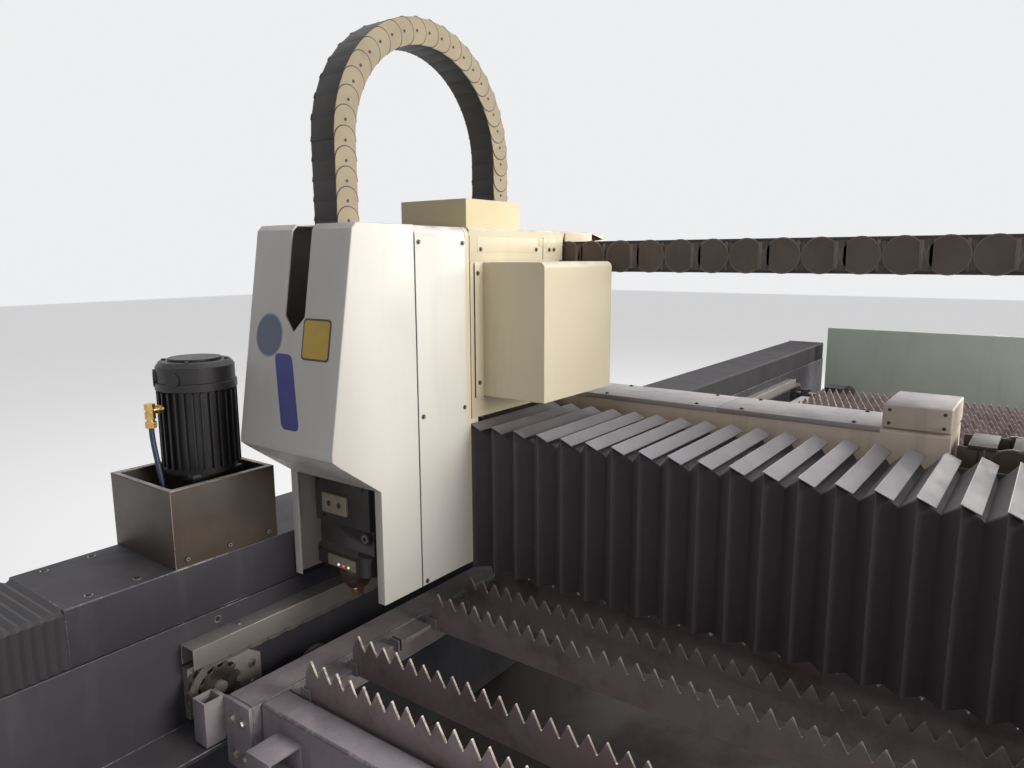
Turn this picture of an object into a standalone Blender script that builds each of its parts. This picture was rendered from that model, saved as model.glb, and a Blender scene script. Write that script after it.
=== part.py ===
"""Fiber laser cutting machine with a flying gantry, open table and shuttle pallet.

Metres, +Z up, floor at z = 0. X is the long axis of the bed, Y runs along the gantry, and the origin
lies under the middle of the bed. "far" is the +Y side and "near" is the -Y side.
"""
import math

import bmesh
import bpy
from mathutils import Matrix, Vector

for leftover in list(bpy.data.objects):
    bpy.data.objects.remove(leftover, do_unlink=True)


# Driving dimensions

GAP = 0.0003                 # between pieces that seat on each other
RUNNING = 0.0005             # between pieces that slide or turn past each other
THROUGH = 0.40               # length of a round cutter that has to pass right through a piece

# Bed
BED_HALF_LENGTH = 3.0
BEAM_INNER_Y = 1.316
BEAM_WIDTH = 0.304
BEAM_BOTTOM = 0.10
BEAM_TOP = 0.848
FOOT_RADIUS = 0.065
FEET_PER_SIDE = 5
WINDOW_COUNT = 6
WINDOW_DEPTH = 0.045
WINDOW_MARGIN = 0.09
SILL_HEIGHT = 0.20           # top of the low cross members that carry the scrap trays
SILL_WIDTH = 0.14
END_SILL_HEIGHT = 0.55       # top of the cross member behind the pallet
END_SILL_WIDTH = 0.15

# X guide on each beam
RAIL_WIDTH = 0.035
RAIL_HEIGHT = 0.032
X_RAIL_Y = BEAM_INNER_Y + 0.2065
RACK_WIDTH = 0.0215
RACK_HEIGHT = 0.030
X_PINION_Y = BEAM_INNER_Y + 0.136
PINION_RADIUS = 0.035
PINION_TEETH = 14
PINION_TOOTH = 0.006

# Bellows over the X guide
X_COVER_WIDTH = 0.262
X_COVER_BOTTOM = 0.8505
X_COVER_TOP = 0.9745
X_COVER_WALL = 0.003
X_COVER_FOLD = 0.006
X_COVER_PLEATS = 30
X_STACK_PLEATS = 8
STOP_PLATE = 0.012
STOP_INSET = 0.03            # from the end of the bed to the bellows' end plate

# Gantry saddles
SADDLE_FRONT_X = -2.62
SADDLE_REAR_X = -1.12
SADDLE_SKIRT = 0.010
SADDLE_UNDERSIDE = 0.885
SADDLE_NOTCH_FRONT_X = -1.79
SADDLE_NOTCH_REAR_X = -1.33
RUNNER_LENGTH = 0.14
RUNNER_WALL = 0.0145

# X drive motors and the open boxes round their feet
X_MOTOR_INSET = 0.3925       # from the saddle's front end back to the motor's axis
X_MOTOR_X = SADDLE_FRONT_X + X_MOTOR_INSET
MOTOR_BASE = 0.150
MOTOR_FLANGE = 0.050
MOTOR_CAP_RADIUS = 0.095
MOTOR_TOP = 1.42
GUARD_FRONT_X = X_MOTOR_X - 0.1605
GUARD_REAR_X = X_MOTOR_X + 0.1045
GUARD_TOP = 1.153
SHEET = 0.003

# Gantry beam
GANTRY_FRONT_X = -1.685
GANTRY_REAR_X = -1.430
GANTRY_BOTTOM = 0.900
GANTRY_TOP = 1.150
GANTRY_HALF_SPAN = 1.570
Y_RAIL_LOW_Z = 0.945
Y_RAIL_HIGH_Z = 1.105
Y_RAIL_HALF_SPAN = 1.308
Y_RACK_X = -1.568
Y_PINION_RADIUS = 0.030

# Bellows over the gantry
Y_COVER_FRONT_X = -1.7635
Y_COVER_REAR_X = -1.3555
Y_COVER_TOP = 1.2335
Y_COVER_BOTTOM_FRONT = 0.848
Y_COVER_BOTTOM_REAR = 0.902
Y_COVER_PITCH = 0.0676
Y_COVER_DEPTH = 0.042
Y_COVER_LEDGE = 0.016
Y_COVER_WALL = 0.004
Y_COVER_NEAR_END = -1.300
Y_STACK_LENGTH = 0.200
Y_STACK_PLEATS = 6

# Cable duct and chain tray behind the gantry
CARRIER_THICKNESS = 0.030
CARRIER_SHELF_Z = 1.000
DUCT_FRONT_X = -1.338
DUCT_REAR_X = -1.160
DUCT_TOP = 1.259
DUCT_FAR_END = 1.300
DUCT_NEAR_END = -0.023
END_BOX_LENGTH = 0.141
END_BOX_REAR_X = -1.140
END_BOX_TOP = 1.316
TRAY_LIP = 1.190
TRAY_NEAR_END = -1.560

# Y cable chain
Y_CHAIN_FRONT_X = -1.330
Y_CHAIN_REAR_X = -1.180
Y_CHAIN_HEIGHT = 0.090
Y_CHAIN_TOP_Z = 1.650
Y_CHAIN_RADIUS = 0.226
Y_CHAIN_BEND_Y = -0.250
Y_CHAIN_PITCH = 0.092
CHAIN_STEP = 0.004           # how far a link's inner plates stand back from its outer ones

# Carriage covers
COVER_NEAR_Y = 0.990
COVER_FAR_Y = 1.309
COVER_TOP = 1.722
COVER_BOTTOM = 0.864
COVER_WALL = 0.0035
COVER_RADIUS = 0.022
NOSE_TOP_X = -2.136
NOSE_TIP_X = -2.213
NOSE_TIP_Z = 1.231
LEG_FRONT_X = -2.080
LEG_TOP_Z = 1.130
LEG_FLANGE = 0.022
COVER_SEAM_X = -1.956
COVER_REAR_X = -1.764
CABLE_SLOT_WIDTH = 0.068
CABLE_SLOT_POINT_Z = 1.490
CABLE_SLOT_CLEAR = 0.004      # round the chain where it goes through the cover's top

# Arm, side box and chain box on the carriage
ARM_BOTTOM = 1.640
ARM_CHAMFER = 0.006
ARM_REAR_X = -1.341
ARM_STRIP_BOTTOM = 1.681
ARM_STRIP_REAR_X = -1.100
SIDE_BOX_FRONT_X = -1.7125
SIDE_BOX_REAR_X = -1.387
SIDE_BOX_NEAR_Y = 0.801
SIDE_BOX_BOTTOM = 1.297
SIDE_BOX_TOP = 1.637
SIDE_BOX_RADIUS = 0.018
SIDE_FLANGE_FRONT_X = -1.745
CHAIN_BOX_FRONT_X = -1.670
CHAIN_BOX_REAR_X = -1.432
CHAIN_BOX_NEAR_Y = 1.075
CHAIN_BOX_TOP = 1.800

# Carriage plate
PLATE_THICKNESS = 0.030
PLATE_FRONT_X = -1.7605
PLATE_BOTTOM = 0.900
SHELF_TOP = 1.275
SHELF_THICKNESS = 0.030
CHEEK = 0.006
PLATE_RUNNER_LENGTH = 0.090
PLATE_RUNNER_INSET = 0.055
RUNNER_CLEAR = 0.006         # from a runner's lips to the face its rail is screwed on
Y_MOTOR_RADIUS = 0.055
Y_MOTOR_Z = 1.440

# Arched cable chain to the head
ARCH_LEFT_X = -2.038
ARCH_RIGHT_X = -1.476
ARCH_CENTRE_Z = 1.904
ARCH_DEPTH = 0.063
ARCH_WIDTH = 0.080
ARCH_Y = 1.149
ARCH_LEFT_END_Z = 1.470
ARCH_RIGHT_END_Z = 1.735
ARCH_LINKS_ROUND = 20
ARCH_STRAIGHT_PITCH = 0.0447

# Cutting head and its Z slide
HEAD_X = -2.020
HEAD_FRONT_X = -2.060
HEAD_HALF_WIDTH = 0.095
HEAD_BOTTOM = 0.905
HEAD_TOP = 1.400
Z_RAIL_SPACING = 0.170
Z_RAIL_DEPTH = 0.025
Z_RAIL_WIDTH = 0.025
Z_PLATE_THICKNESS = 0.034
Z_PLATE_BOTTOM = 1.000
Z_PLATE_TOP = 1.420
Z_SCREW_RADIUS = 0.010
Z_SCREW_BOTTOM = 0.960
Z_SCREW_TOP = 1.540
Z_MOTOR_TOP = 1.690
Z_MOTOR_SIDE = 0.075
Z_MOTOR_CAP = 0.010
Z_NUT_HEIGHT = 0.060
Z_NUT_WIDTH = 0.060
Z_TRAVEL_DOWN = 0.020
Z_TRAVEL_UP = 0.100
HEAD_RECESS = 0.012          # the band between the lens drawer and the lamp block
HEAD_RECESS_Z = (0.956, 1.017)
CLAMP_BOSS_RADIUS = 0.014
CLAMP_BOSS_LENGTH = 0.012
NOZZLE_TIP_Z = 0.830
NOZZLE_RADIUS = 0.014
SKIRT_RADIUS = 0.042
SKIRT_HEIGHT = 0.052

# Slats and pallet
SLAT_TOP = 0.800
SLAT_BOTTOM = 0.700
SLAT_THICKNESS = 0.005
SLAT_PITCH = 0.1335
SLAT_POSITIONS = 32
SLAT_MISSING = 2             # counted from the front, from 0
SLAT_FIRST_X = -2.263
SLAT_HALF_SPAN = BEAM_INNER_Y - 0.268
SLAT_TEETH = 13
TOOTH_DEPTH = 0.037
COMB_WIDTH = 0.020
COMB_HEIGHT = 0.046
PALLET_FRONT_X = -2.360
PALLET_REAR_X = PALLET_FRONT_X + 4.330
PALLET_HALF_WIDTH = BEAM_INNER_Y - 0.126
PALLET_TUBE = 0.080
PALLET_TOP = 0.715
PALLET_BOTTOM = 0.615
PALLET_CROSS_TUBES = 7
PALLET_CROSS_WIDTH = 0.060
WHEEL_RADIUS = 0.045
WHEEL_WIDTH = 0.036
WHEEL_Z = 0.655
WHEEL_FRONT_X = PALLET_FRONT_X + 0.260
WHEEL_REAR_X = PALLET_REAR_X - 0.270
AXLE_RADIUS = 0.012
CORNER_POST_TOP = 0.762
CORNER_POST_LENGTH = 0.050
CORNER_PLATE = 0.012
CORNER_PAD = 0.010
LUG_LENGTH = 0.100
CATCH_LENGTH = 0.160
CATCH_Y = (PALLET_HALF_WIDTH - 0.310, PALLET_HALF_WIDTH - 0.205)

# Pallet drive
CHAIN_Y = BEAM_INNER_Y - 0.036
CHAIN_Z = 0.688
FRONT_SPROCKET_X = PALLET_FRONT_X + 0.028
REAR_SPROCKET_X = PALLET_REAR_X + 0.230
SPROCKET_RADIUS = 0.055
SPROCKET_WIDTH = 0.014
SPROCKET_TEETH = 12
SPROCKET_TOOTH = 0.010
CHAIN_WIDTH = 0.022
CHAIN_THICKNESS = 0.013
CHAIN_LINK = 0.1524
DRIVE_SHAFT_RADIUS = 0.020
GUARD_CHANNEL_WIDTH = 0.051
GUARD_CHANNEL_BOTTOM = 0.756
GUARD_CHANNEL_TOP = 0.804
GUARD_CHANNEL_FRONT_X = FRONT_SPROCKET_X - 0.062
GUARD_CHANNEL_REAR_X = REAR_SPROCKET_X - 0.100
DRIVE_SILL_TOP = 0.550
DRIVE_SILL_WIDTH = 0.180
PALLET_RAIL_THICKNESS = 0.010
GEARBOX_INSET = 0.200        # from the far chain's middle in to the gearbox
GEARBOX_WIDTH = 0.120
GEARBOX_HALF = 0.075
DRIVE_MOTOR_RADIUS = 0.055
DRIVE_MOTOR_LENGTH = 0.270
DRIVE_MOTOR_DROP = 0.020     # of the motor's axis below the shaft

# Scrap trays and end panel
TRAY_HEIGHT = 0.220
TRAY_FLARE = 0.060
TRAY_WALL = 0.004
TRAY_HALF_WIDTH = BEAM_INNER_Y - 0.256
TRAY_MIDDLE_GAP = 0.060
TRAY_OUTER_X = 2.330
PANEL_X = 2.720
PANEL_TOP = 1.115
PANEL_HALF_WIDTH = BEAM_INNER_Y - 0.091
PANEL_FLANGE = 0.030


# Values that follow from the ones above

BEAM_OUTER_Y = BEAM_INNER_Y + BEAM_WIDTH
SADDLE_OUTER_Y = BEAM_INNER_Y + X_COVER_WIDTH
STOP_X = BED_HALF_LENGTH - STOP_INSET
COVER_MIDDLE_Y = (COVER_NEAR_Y + COVER_FAR_Y) / 2
Y_PINION_X = Y_RACK_X + RACK_WIDTH / 2 + RUNNING + Y_PINION_RADIUS
ARCH_RADIUS = (ARCH_RIGHT_X - ARCH_LEFT_X) / 2
ARCH_CENTRE_X = (ARCH_RIGHT_X + ARCH_LEFT_X) / 2
SHELF_BOTTOM = SHELF_TOP - SHELF_THICKNESS
PALLET_RAIL_TOP = WHEEL_Z - WHEEL_RADIUS - GAP
RAIL_FRONT_X = GANTRY_FRONT_X - RAIL_HEIGHT + 0.0015
TRAY_FLOOR = Y_CHAIN_TOP_Z - 2 * Y_CHAIN_RADIUS - Y_CHAIN_HEIGHT / 2 - GAP


# Materials

def material(name, color, roughness, metallic=0.0):
    """A Principled material with one colour."""
    mat = bpy.data.materials.new(name)
    mat.use_nodes = True
    shader = mat.node_tree.nodes["Principled BSDF"]
    shader.inputs["Base Color"].default_value = (*color, 1.0)
    shader.inputs["Roughness"].default_value = roughness
    shader.inputs["Metallic"].default_value = metallic
    return mat


# name: (colour, roughness, metallic)
FINISHES = {
    "bed paint": ((0.055, 0.057, 0.075), 0.55, 0.0),
    "cover paint": ((0.76, 0.74, 0.69), 0.42, 0.0),
    "bellows cloth": ((0.030, 0.027, 0.030), 0.75, 0.0),
    "duct paint": ((0.52, 0.43, 0.33), 0.50, 0.0),
    "pallet paint": ((0.16, 0.14, 0.15), 0.60, 0.1),
    "slat steel": ((0.22, 0.18, 0.17), 0.55, 0.8),
    "guard steel": ((0.20, 0.19, 0.16), 0.50, 0.6),
    "bare steel": ((0.45, 0.44, 0.43), 0.30, 1.0),
    "chain steel": ((0.10, 0.085, 0.075), 0.45, 0.8),
    "motor black": ((0.020, 0.019, 0.021), 0.45, 0.0),
    "box paint": ((0.14, 0.115, 0.095), 0.55, 0.2),
    "chain beige": ((0.60, 0.53, 0.43), 0.55, 0.0),
    "chain brown": ((0.070, 0.050, 0.043), 0.50, 0.0),
    "panel grey": ((0.19, 0.22, 0.20), 0.55, 0.0),
    "head charcoal": ((0.035, 0.030, 0.032), 0.45, 0.1),
    "drawer beige": ((0.42, 0.36, 0.29), 0.50, 0.0),
    "nozzle copper": ((0.55, 0.27, 0.14), 0.30, 1.0),
    "skirt brown": ((0.20, 0.14, 0.10), 0.45, 0.6),
    "brass": ((0.62, 0.42, 0.14), 0.28, 1.0),
    "hose blue": ((0.015, 0.020, 0.055), 0.45, 0.0),
    "wheel": ((0.06, 0.06, 0.06), 0.50, 0.0),
    "tray steel": ((0.13, 0.12, 0.12), 0.60, 0.5),
}


# Modelling helpers

def block(bm, x, y, z):
    """A box between pairs of limits."""
    size = Vector((x[1] - x[0], y[1] - y[0], z[1] - z[0]))
    middle = Vector((x[1] + x[0], y[1] + y[0], z[1] + z[0])) / 2
    matrix = Matrix.Translation(middle) @ Matrix.Diagonal((*size, 1.0))
    return bmesh.ops.create_cube(bm, size=1.0, matrix=matrix)["verts"]


def prism(bm, outline, axis, span):
    """An outline in the plane across an axis, extruded along it.

    X takes (y, z), Y takes (x, z) and Z takes (x, y).
    """
    place = {
        "X": lambda a, b: (span[0], a, b),
        "Y": lambda a, b: (a, span[0], b),
        "Z": lambda a, b: (a, b, span[0]),
    }[axis]
    push = Vector([span[1] - span[0] if axis == name else 0.0 for name in "XYZ"])
    face = bm.faces.new([bm.verts.new(place(a, b)) for a, b in outline])
    lifted = bmesh.ops.extrude_face_region(bm, geom=[face])["geom"]
    bmesh.ops.translate(bm, verts=[v for v in lifted if isinstance(v, bmesh.types.BMVert)], vec=push)


def rod(bm, centre, axis, radius, length, segments=24, radius_2=None):
    """A cylinder or cone whose middle is at centre."""
    turn = {
        "X": Matrix.Rotation(math.pi / 2, 4, "Y"),
        "Y": Matrix.Rotation(-math.pi / 2, 4, "X"),
        "Z": Matrix.Identity(4),
    }[axis]
    bmesh.ops.create_cone(
        bm, cap_ends=True, segments=segments, radius1=radius,
        radius2=radius if radius_2 is None else radius_2, depth=length,
        matrix=Matrix.Translation(centre) @ turn,
    )


def turned(bm, profile, centre, segments=24):
    """A profile of (radius, height) pairs turned about a vertical axis. Its two ends lie on the axis."""
    verts = [bm.verts.new((centre[0] + r, centre[1], centre[2] + h)) for r, h in profile]
    edges = [bm.edges.new(pair) for pair in zip(verts, verts[1:])]
    bmesh.ops.spin(
        bm, geom=verts + edges, cent=centre, axis=(0, 0, 1), angle=2 * math.pi,
        steps=segments, use_merge=True, use_duplicate=False,
    )
    bmesh.ops.remove_doubles(bm, verts=bm.verts, dist=0.00001)


def loft(bm, rings, closed=False):
    """Skin rings that have the same number of points. An open loft is capped at both ends."""
    loops = [[bm.verts.new(p) for p in ring] for ring in rings]
    pairs = list(zip(loops, loops[1:]))
    if closed:
        pairs.append((loops[-1], loops[0]))
    for a, b in pairs:
        for i in range(len(a)):
            j = (i + 1) % len(a)
            bm.faces.new((a[i], a[j], b[j], b[i]))
    if not closed:
        bm.faces.new(loops[0])
        bm.faces.new(loops[-1])


def gear_outline(centre, tip, root, teeth):
    """Points of a coarse toothed wheel, four to a tooth."""
    points = []
    for tooth in range(teeth):
        for share, radius in ((0.00, root), (0.18, tip), (0.45, tip), (0.63, root)):
            angle = 2 * math.pi * (tooth + share) / teeth
            points.append((centre[0] + radius * math.cos(angle), centre[1] + radius * math.sin(angle)))
    return points


def arc(centre, radius, start, stop, steps):
    """Points of an arc in a plane, with both ends. Angles in degrees."""
    angles = [math.radians(start + (stop - start) * i / steps) for i in range(steps + 1)]
    return [(centre[0] + radius * math.cos(a), centre[1] + radius * math.sin(a)) for a in angles]


def mirrored(bm):
    """Reflect a mesh from the far side to the near side."""
    bmesh.ops.scale(bm, vec=(1.0, -1.0, 1.0), verts=bm.verts)


def finish_mesh(bm, name):
    """Close off a bmesh into mesh data with its faces pointing out."""
    bmesh.ops.recalc_face_normals(bm, faces=bm.faces)
    mesh = bpy.data.meshes.new(name)
    bm.to_mesh(mesh)
    bm.free()
    return mesh


def node(name, bm, finish, smooth=30.0):
    """One sub-part as a named object with its own material."""
    obj = bpy.data.objects.new(name, finish_mesh(bm, name))
    obj.data.materials.append(material(name + " " + finish, *FINISHES[finish]))
    obj.data.shade_smooth()
    obj.data.set_sharp_from_angle(angle=math.radians(smooth))
    bpy.context.collection.objects.link(obj)
    return obj


def boolean(obj, bm, operation):
    """Join or cut with a tool shape that stays out of the render."""
    tool = bpy.data.objects.new(obj.name + " tool", finish_mesh(bm, obj.name + " tool"))
    tool.hide_render = True
    tool.display_type = "WIRE"
    bpy.context.collection.objects.link(tool)
    step = obj.modifiers.new(operation.title(), "BOOLEAN")
    step.object = tool
    step.operation = operation
    step.solver = "EXACT"
    step.use_self = operation == "UNION"


def join(obj, *shapes):
    """Union shapes onto an object. Each shape is a function that fills a bmesh."""
    for shape in shapes:
        bm = bmesh.new()
        shape(bm)
        boolean(obj, bm, "UNION")


def cut(obj, *shapes):
    """Cut shapes out of an object."""
    for shape in shapes:
        bm = bmesh.new()
        shape(bm)
        boolean(obj, bm, "DIFFERENCE")


def spread(first, last, count):
    """Evenly spaced values with both ends."""
    return [first + (last - first) * i / (count - 1) for i in range(count)]


# Welded bed: two boxed beams, low cross members, feet, guide rails, racks and pallet rails

END_SILL_X = (BED_HALF_LENGTH - END_SILL_WIDTH, BED_HALF_LENGTH)
DRIVE_SILL_X = (REAR_SPROCKET_X - DRIVE_SILL_WIDTH / 2, REAR_SPROCKET_X + DRIVE_SILL_WIDTH / 2)
SILL_CENTRES = (-TRAY_OUTER_X + SILL_WIDTH / 2, 0.0, TRAY_OUTER_X - SILL_WIDTH / 2)
OVERLAP = 0.002              # how far fused pieces of the weldment run into each other


def bed_beam(side):
    """One boxed side beam with recessed service bays on its outer face."""
    bm = bmesh.new()
    block(bm, (-BED_HALF_LENGTH, BED_HALF_LENGTH), (BEAM_INNER_Y, BEAM_OUTER_Y), (BEAM_BOTTOM, BEAM_TOP))
    if side < 0:
        mirrored(bm)
    return bm


def bed_windows(bm, side):
    """Recesses along the outer face of one beam."""
    bay = 2 * BED_HALF_LENGTH / WINDOW_COUNT
    for i in range(WINDOW_COUNT):
        left = -BED_HALF_LENGTH + i * bay
        block(
            bm, (left + WINDOW_MARGIN, left + bay - WINDOW_MARGIN),
            (BEAM_OUTER_Y - WINDOW_DEPTH, BEAM_OUTER_Y + WINDOW_DEPTH),
            (BEAM_BOTTOM + WINDOW_MARGIN, BEAM_TOP - 2 * WINDOW_MARGIN),
        )
    if side < 0:
        mirrored(bm)


def bed_guides(bm, side):
    """Rail, rack, pallet rail, bellows end plates and feet of one side."""
    top = BEAM_TOP - OVERLAP
    rail_y = (X_RAIL_Y - RAIL_WIDTH / 2, X_RAIL_Y + RAIL_WIDTH / 2)
    block(bm, (-STOP_X, STOP_X), rail_y, (top, BEAM_TOP + RAIL_HEIGHT))
    rack_far = X_PINION_Y - PINION_RADIUS - RUNNING
    block(bm, (-STOP_X, STOP_X), (rack_far - RACK_WIDTH, rack_far), (top, BEAM_TOP + RACK_HEIGHT))
    for sign in (-1, 1):
        near, far = sorted((sign * STOP_X, sign * (STOP_X + STOP_PLATE)))
        block(bm, (near, far), (BEAM_INNER_Y, SADDLE_OUTER_Y), (top, X_COVER_TOP))
    for x in spread(-BED_HALF_LENGTH + 3 * FOOT_RADIUS, BED_HALF_LENGTH - 3 * FOOT_RADIUS, FEET_PER_SIDE):
        rod(bm, (x, (BEAM_INNER_Y + BEAM_OUTER_Y) / 2, (BEAM_BOTTOM + OVERLAP) / 2), "Z", FOOT_RADIUS,
            BEAM_BOTTOM + OVERLAP, 12)
    rail_near = PALLET_HALF_WIDTH + GAP
    outline = [
        (BEAM_INNER_Y + OVERLAP, PALLET_RAIL_TOP),
        (rail_near, PALLET_RAIL_TOP),
        (rail_near, PALLET_RAIL_TOP - PALLET_RAIL_THICKNESS),
        (BEAM_INNER_Y - PALLET_RAIL_THICKNESS, PALLET_RAIL_TOP - PALLET_RAIL_THICKNESS),
        (BEAM_INNER_Y - PALLET_RAIL_THICKNESS, PALLET_RAIL_TOP - 0.07),
        (BEAM_INNER_Y + OVERLAP, PALLET_RAIL_TOP - 0.07),
    ]
    prism(bm, outline, "X", (-STOP_X, DRIVE_SILL_X[0]))
    if side < 0:
        mirrored(bm)


def bed_sills(bm):
    """Cross members from beam to beam."""
    across = (-BEAM_INNER_Y - OVERLAP, BEAM_INNER_Y + OVERLAP)
    for x in SILL_CENTRES:
        block(bm, (x - SILL_WIDTH / 2, x + SILL_WIDTH / 2), across, (BEAM_BOTTOM, SILL_HEIGHT))
    block(bm, (-BED_HALF_LENGTH, -BED_HALF_LENGTH + END_SILL_WIDTH), across, (BEAM_BOTTOM, SILL_HEIGHT))
    block(bm, END_SILL_X, across, (BEAM_BOTTOM, END_SILL_HEIGHT))
    block(bm, DRIVE_SILL_X, across, (DRIVE_SILL_TOP - 0.09, DRIVE_SILL_TOP))


BEARING_NEAR_Y = CHAIN_Y - 0.080
BEARING_FAR_Y = CHAIN_Y - 0.035
BEARING_HALF = 0.040


def bed_bearings(bm):
    """Blocks that carry the drive shaft."""
    for side in (-1, 1):
        y = sorted((side * BEARING_NEAR_Y, side * BEARING_FAR_Y))
        block(
            bm, (REAR_SPROCKET_X - BEARING_HALF, REAR_SPROCKET_X + BEARING_HALF), y,
            (DRIVE_SILL_TOP - OVERLAP, CHAIN_Z + BEARING_HALF),
        )


def shaft_bore(bm):
    """The bore through both bearing blocks."""
    rod(bm, (REAR_SPROCKET_X, 0, CHAIN_Z), "Y", DRIVE_SHAFT_RADIUS + RUNNING, 2 * BEARING_FAR_Y + 0.02, 20)


bed_frame = node("bed_frame", bed_beam(1), "bed paint")
boolean(bed_frame, bed_beam(-1), "UNION")
join(bed_frame, bed_sills, lambda bm: bed_guides(bm, 1), lambda bm: bed_guides(bm, -1), bed_bearings)
cut(bed_frame, lambda bm: bed_windows(bm, 1), lambda bm: bed_windows(bm, -1), shaft_bore)


# Grey guard panel that closes the +X end

bm = bmesh.new()
prism(bm, [
    (PANEL_X - SHEET, END_SILL_HEIGHT + GAP),
    (PANEL_X + 4 * PANEL_FLANGE + END_SILL_WIDTH / 2, END_SILL_HEIGHT + GAP),
    (PANEL_X + 4 * PANEL_FLANGE + END_SILL_WIDTH / 2, END_SILL_HEIGHT + GAP + SHEET),
    (PANEL_X, END_SILL_HEIGHT + GAP + SHEET),
    (PANEL_X, PANEL_TOP - SHEET),
    (PANEL_X + PANEL_FLANGE, PANEL_TOP - SHEET),
    (PANEL_X + PANEL_FLANGE, PANEL_TOP),
    (PANEL_X - SHEET, PANEL_TOP),
], "Y", (-PANEL_HALF_WIDTH, PANEL_HALF_WIDTH))
node("end_panel", bm, "panel grey")


# Flared scrap trays on the low cross members

def tray_ring(x, half_width, z):
    return [(x[0], -half_width, z), (x[1], -half_width, z), (x[1], half_width, z), (x[0], half_width, z)]


def scrap_tray(name, x):
    """An open pan whose four walls lean out."""
    floor = SILL_HEIGHT + GAP
    foot = (x[0] + TRAY_FLARE, x[1] - TRAY_FLARE)
    inner_foot = (foot[0] + TRAY_WALL, foot[1] - TRAY_WALL)
    inner_top = (x[0] + TRAY_WALL, x[1] - TRAY_WALL)
    bm = bmesh.new()
    loft(bm, [
        tray_ring(foot, TRAY_HALF_WIDTH - TRAY_FLARE, floor),
        tray_ring(x, TRAY_HALF_WIDTH, floor + TRAY_HEIGHT),
        tray_ring(inner_top, TRAY_HALF_WIDTH - TRAY_WALL, floor + TRAY_HEIGHT),
        tray_ring(inner_foot, TRAY_HALF_WIDTH - TRAY_FLARE - TRAY_WALL, floor + TRAY_WALL),
    ])
    node(name, bm, "tray steel")


scrap_tray("scrap_tray_front", (-TRAY_OUTER_X, -TRAY_MIDDLE_GAP / 2))
scrap_tray("scrap_tray_rear", (TRAY_MIDDLE_GAP / 2, TRAY_OUTER_X))


# Bellows over the X guides: one long run behind the gantry and one pressed stack ahead of it

def channel_ring(x, near, far, bottom, top, wall, inset):
    """An inverted U across X. The outer skin steps in by inset and the inner one stays."""
    inner = wall + X_COVER_FOLD
    return [
        (x, near + inset, bottom), (x, near + inset, top - inset),
        (x, far - inset, top - inset), (x, far - inset, bottom),
        (x, far - inner, bottom), (x, far - inner, top - inner),
        (x, near + inner, top - inner), (x, near + inner, bottom),
    ]


def x_bellows(name, x, pleats, side):
    """A pleated cover between two X positions."""
    bm = bmesh.new()
    rings = []
    for i in range(2 * pleats + 1):
        place = x[0] + (x[1] - x[0]) * i / (2 * pleats)
        inset = 0.0 if i % 2 == 0 else X_COVER_FOLD
        rings.append(channel_ring(
            place, BEAM_INNER_Y, SADDLE_OUTER_Y, X_COVER_BOTTOM, X_COVER_TOP, X_COVER_WALL, inset))
    loft(bm, rings)
    if side < 0:
        mirrored(bm)
    node(name, bm, "bellows cloth")


for side, place in ((1, "far"), (-1, "near")):
    x_bellows("x_bellows_rear_" + place, (SADDLE_REAR_X + GAP, STOP_X - GAP), X_COVER_PLEATS, side)
    x_bellows("x_bellows_front_" + place, (-STOP_X + GAP, SADDLE_FRONT_X - GAP), X_STACK_PLEATS, side)


# Pallet drive: guard channels, roller chains, sprockets, shaft and gear motor

def guard_channel(side, name):
    """An inverted U of sheet steel along the beam, over the chain."""
    far = BEAM_INNER_Y - GAP
    near = far - GUARD_CHANNEL_WIDTH
    outline = [
        (near, GUARD_CHANNEL_BOTTOM), (near, GUARD_CHANNEL_TOP), (far, GUARD_CHANNEL_TOP),
        (far, GUARD_CHANNEL_BOTTOM),
        (far - SHEET, GUARD_CHANNEL_BOTTOM), (far - SHEET, GUARD_CHANNEL_TOP - SHEET),
        (near + SHEET, GUARD_CHANNEL_TOP - SHEET), (near + SHEET, GUARD_CHANNEL_BOTTOM),
    ]
    bm = bmesh.new()
    prism(bm, outline, "X", (GUARD_CHANNEL_FRONT_X, GUARD_CHANNEL_REAR_X))
    if side < 0:
        mirrored(bm)
    node(name, bm, "guard steel")


def chain_path():
    """Points of the chain's middle line with their outward directions, round both sprockets."""
    turn = 6
    radius = (SPROCKET_RADIUS + RUNNING) / math.cos(math.pi / (2 * turn)) + CHAIN_THICKNESS / 2
    straight = REAR_SPROCKET_X - FRONT_SPROCKET_X
    links = round(straight / CHAIN_LINK)
    points = []
    for i in range(links):
        points.append(((FRONT_SPROCKET_X + straight * i / links, CHAIN_Z + radius), (0, 1)))
    for i in range(turn):
        angle = math.pi / 2 - math.pi * i / turn
        out = (math.cos(angle), math.sin(angle))
        points.append(((REAR_SPROCKET_X + radius * out[0], CHAIN_Z + radius * out[1]), out))
    for i in range(links):
        points.append(((REAR_SPROCKET_X - straight * i / links, CHAIN_Z - radius), (0, -1)))
    for i in range(turn):
        angle = -math.pi / 2 - math.pi * i / turn
        out = (math.cos(angle), math.sin(angle))
        points.append(((FRONT_SPROCKET_X + radius * out[0], CHAIN_Z + radius * out[1]), out))
    return points


def drive_chain(side, name):
    """A closed roller chain. Every other stretch is narrower, as inner and outer links are."""
    bm = bmesh.new()
    rings = []
    path = chain_path()
    half = CHAIN_THICKNESS / 2
    for i in range(len(path)):
        (x, z), (out_x, out_z) = path[i]
        wide = CHAIN_WIDTH / 2 if i % 2 == 0 else CHAIN_WIDTH / 2 - CHAIN_STEP
        rings.append([
            (x + out_x * half, CHAIN_Y - wide, z + out_z * half),
            (x + out_x * half, CHAIN_Y + wide, z + out_z * half),
            (x - out_x * half, CHAIN_Y + wide, z - out_z * half),
            (x - out_x * half, CHAIN_Y - wide, z - out_z * half),
        ])
    loft(bm, rings, closed=True)
    if side < 0:
        mirrored(bm)
    node(name, bm, "chain steel")


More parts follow.
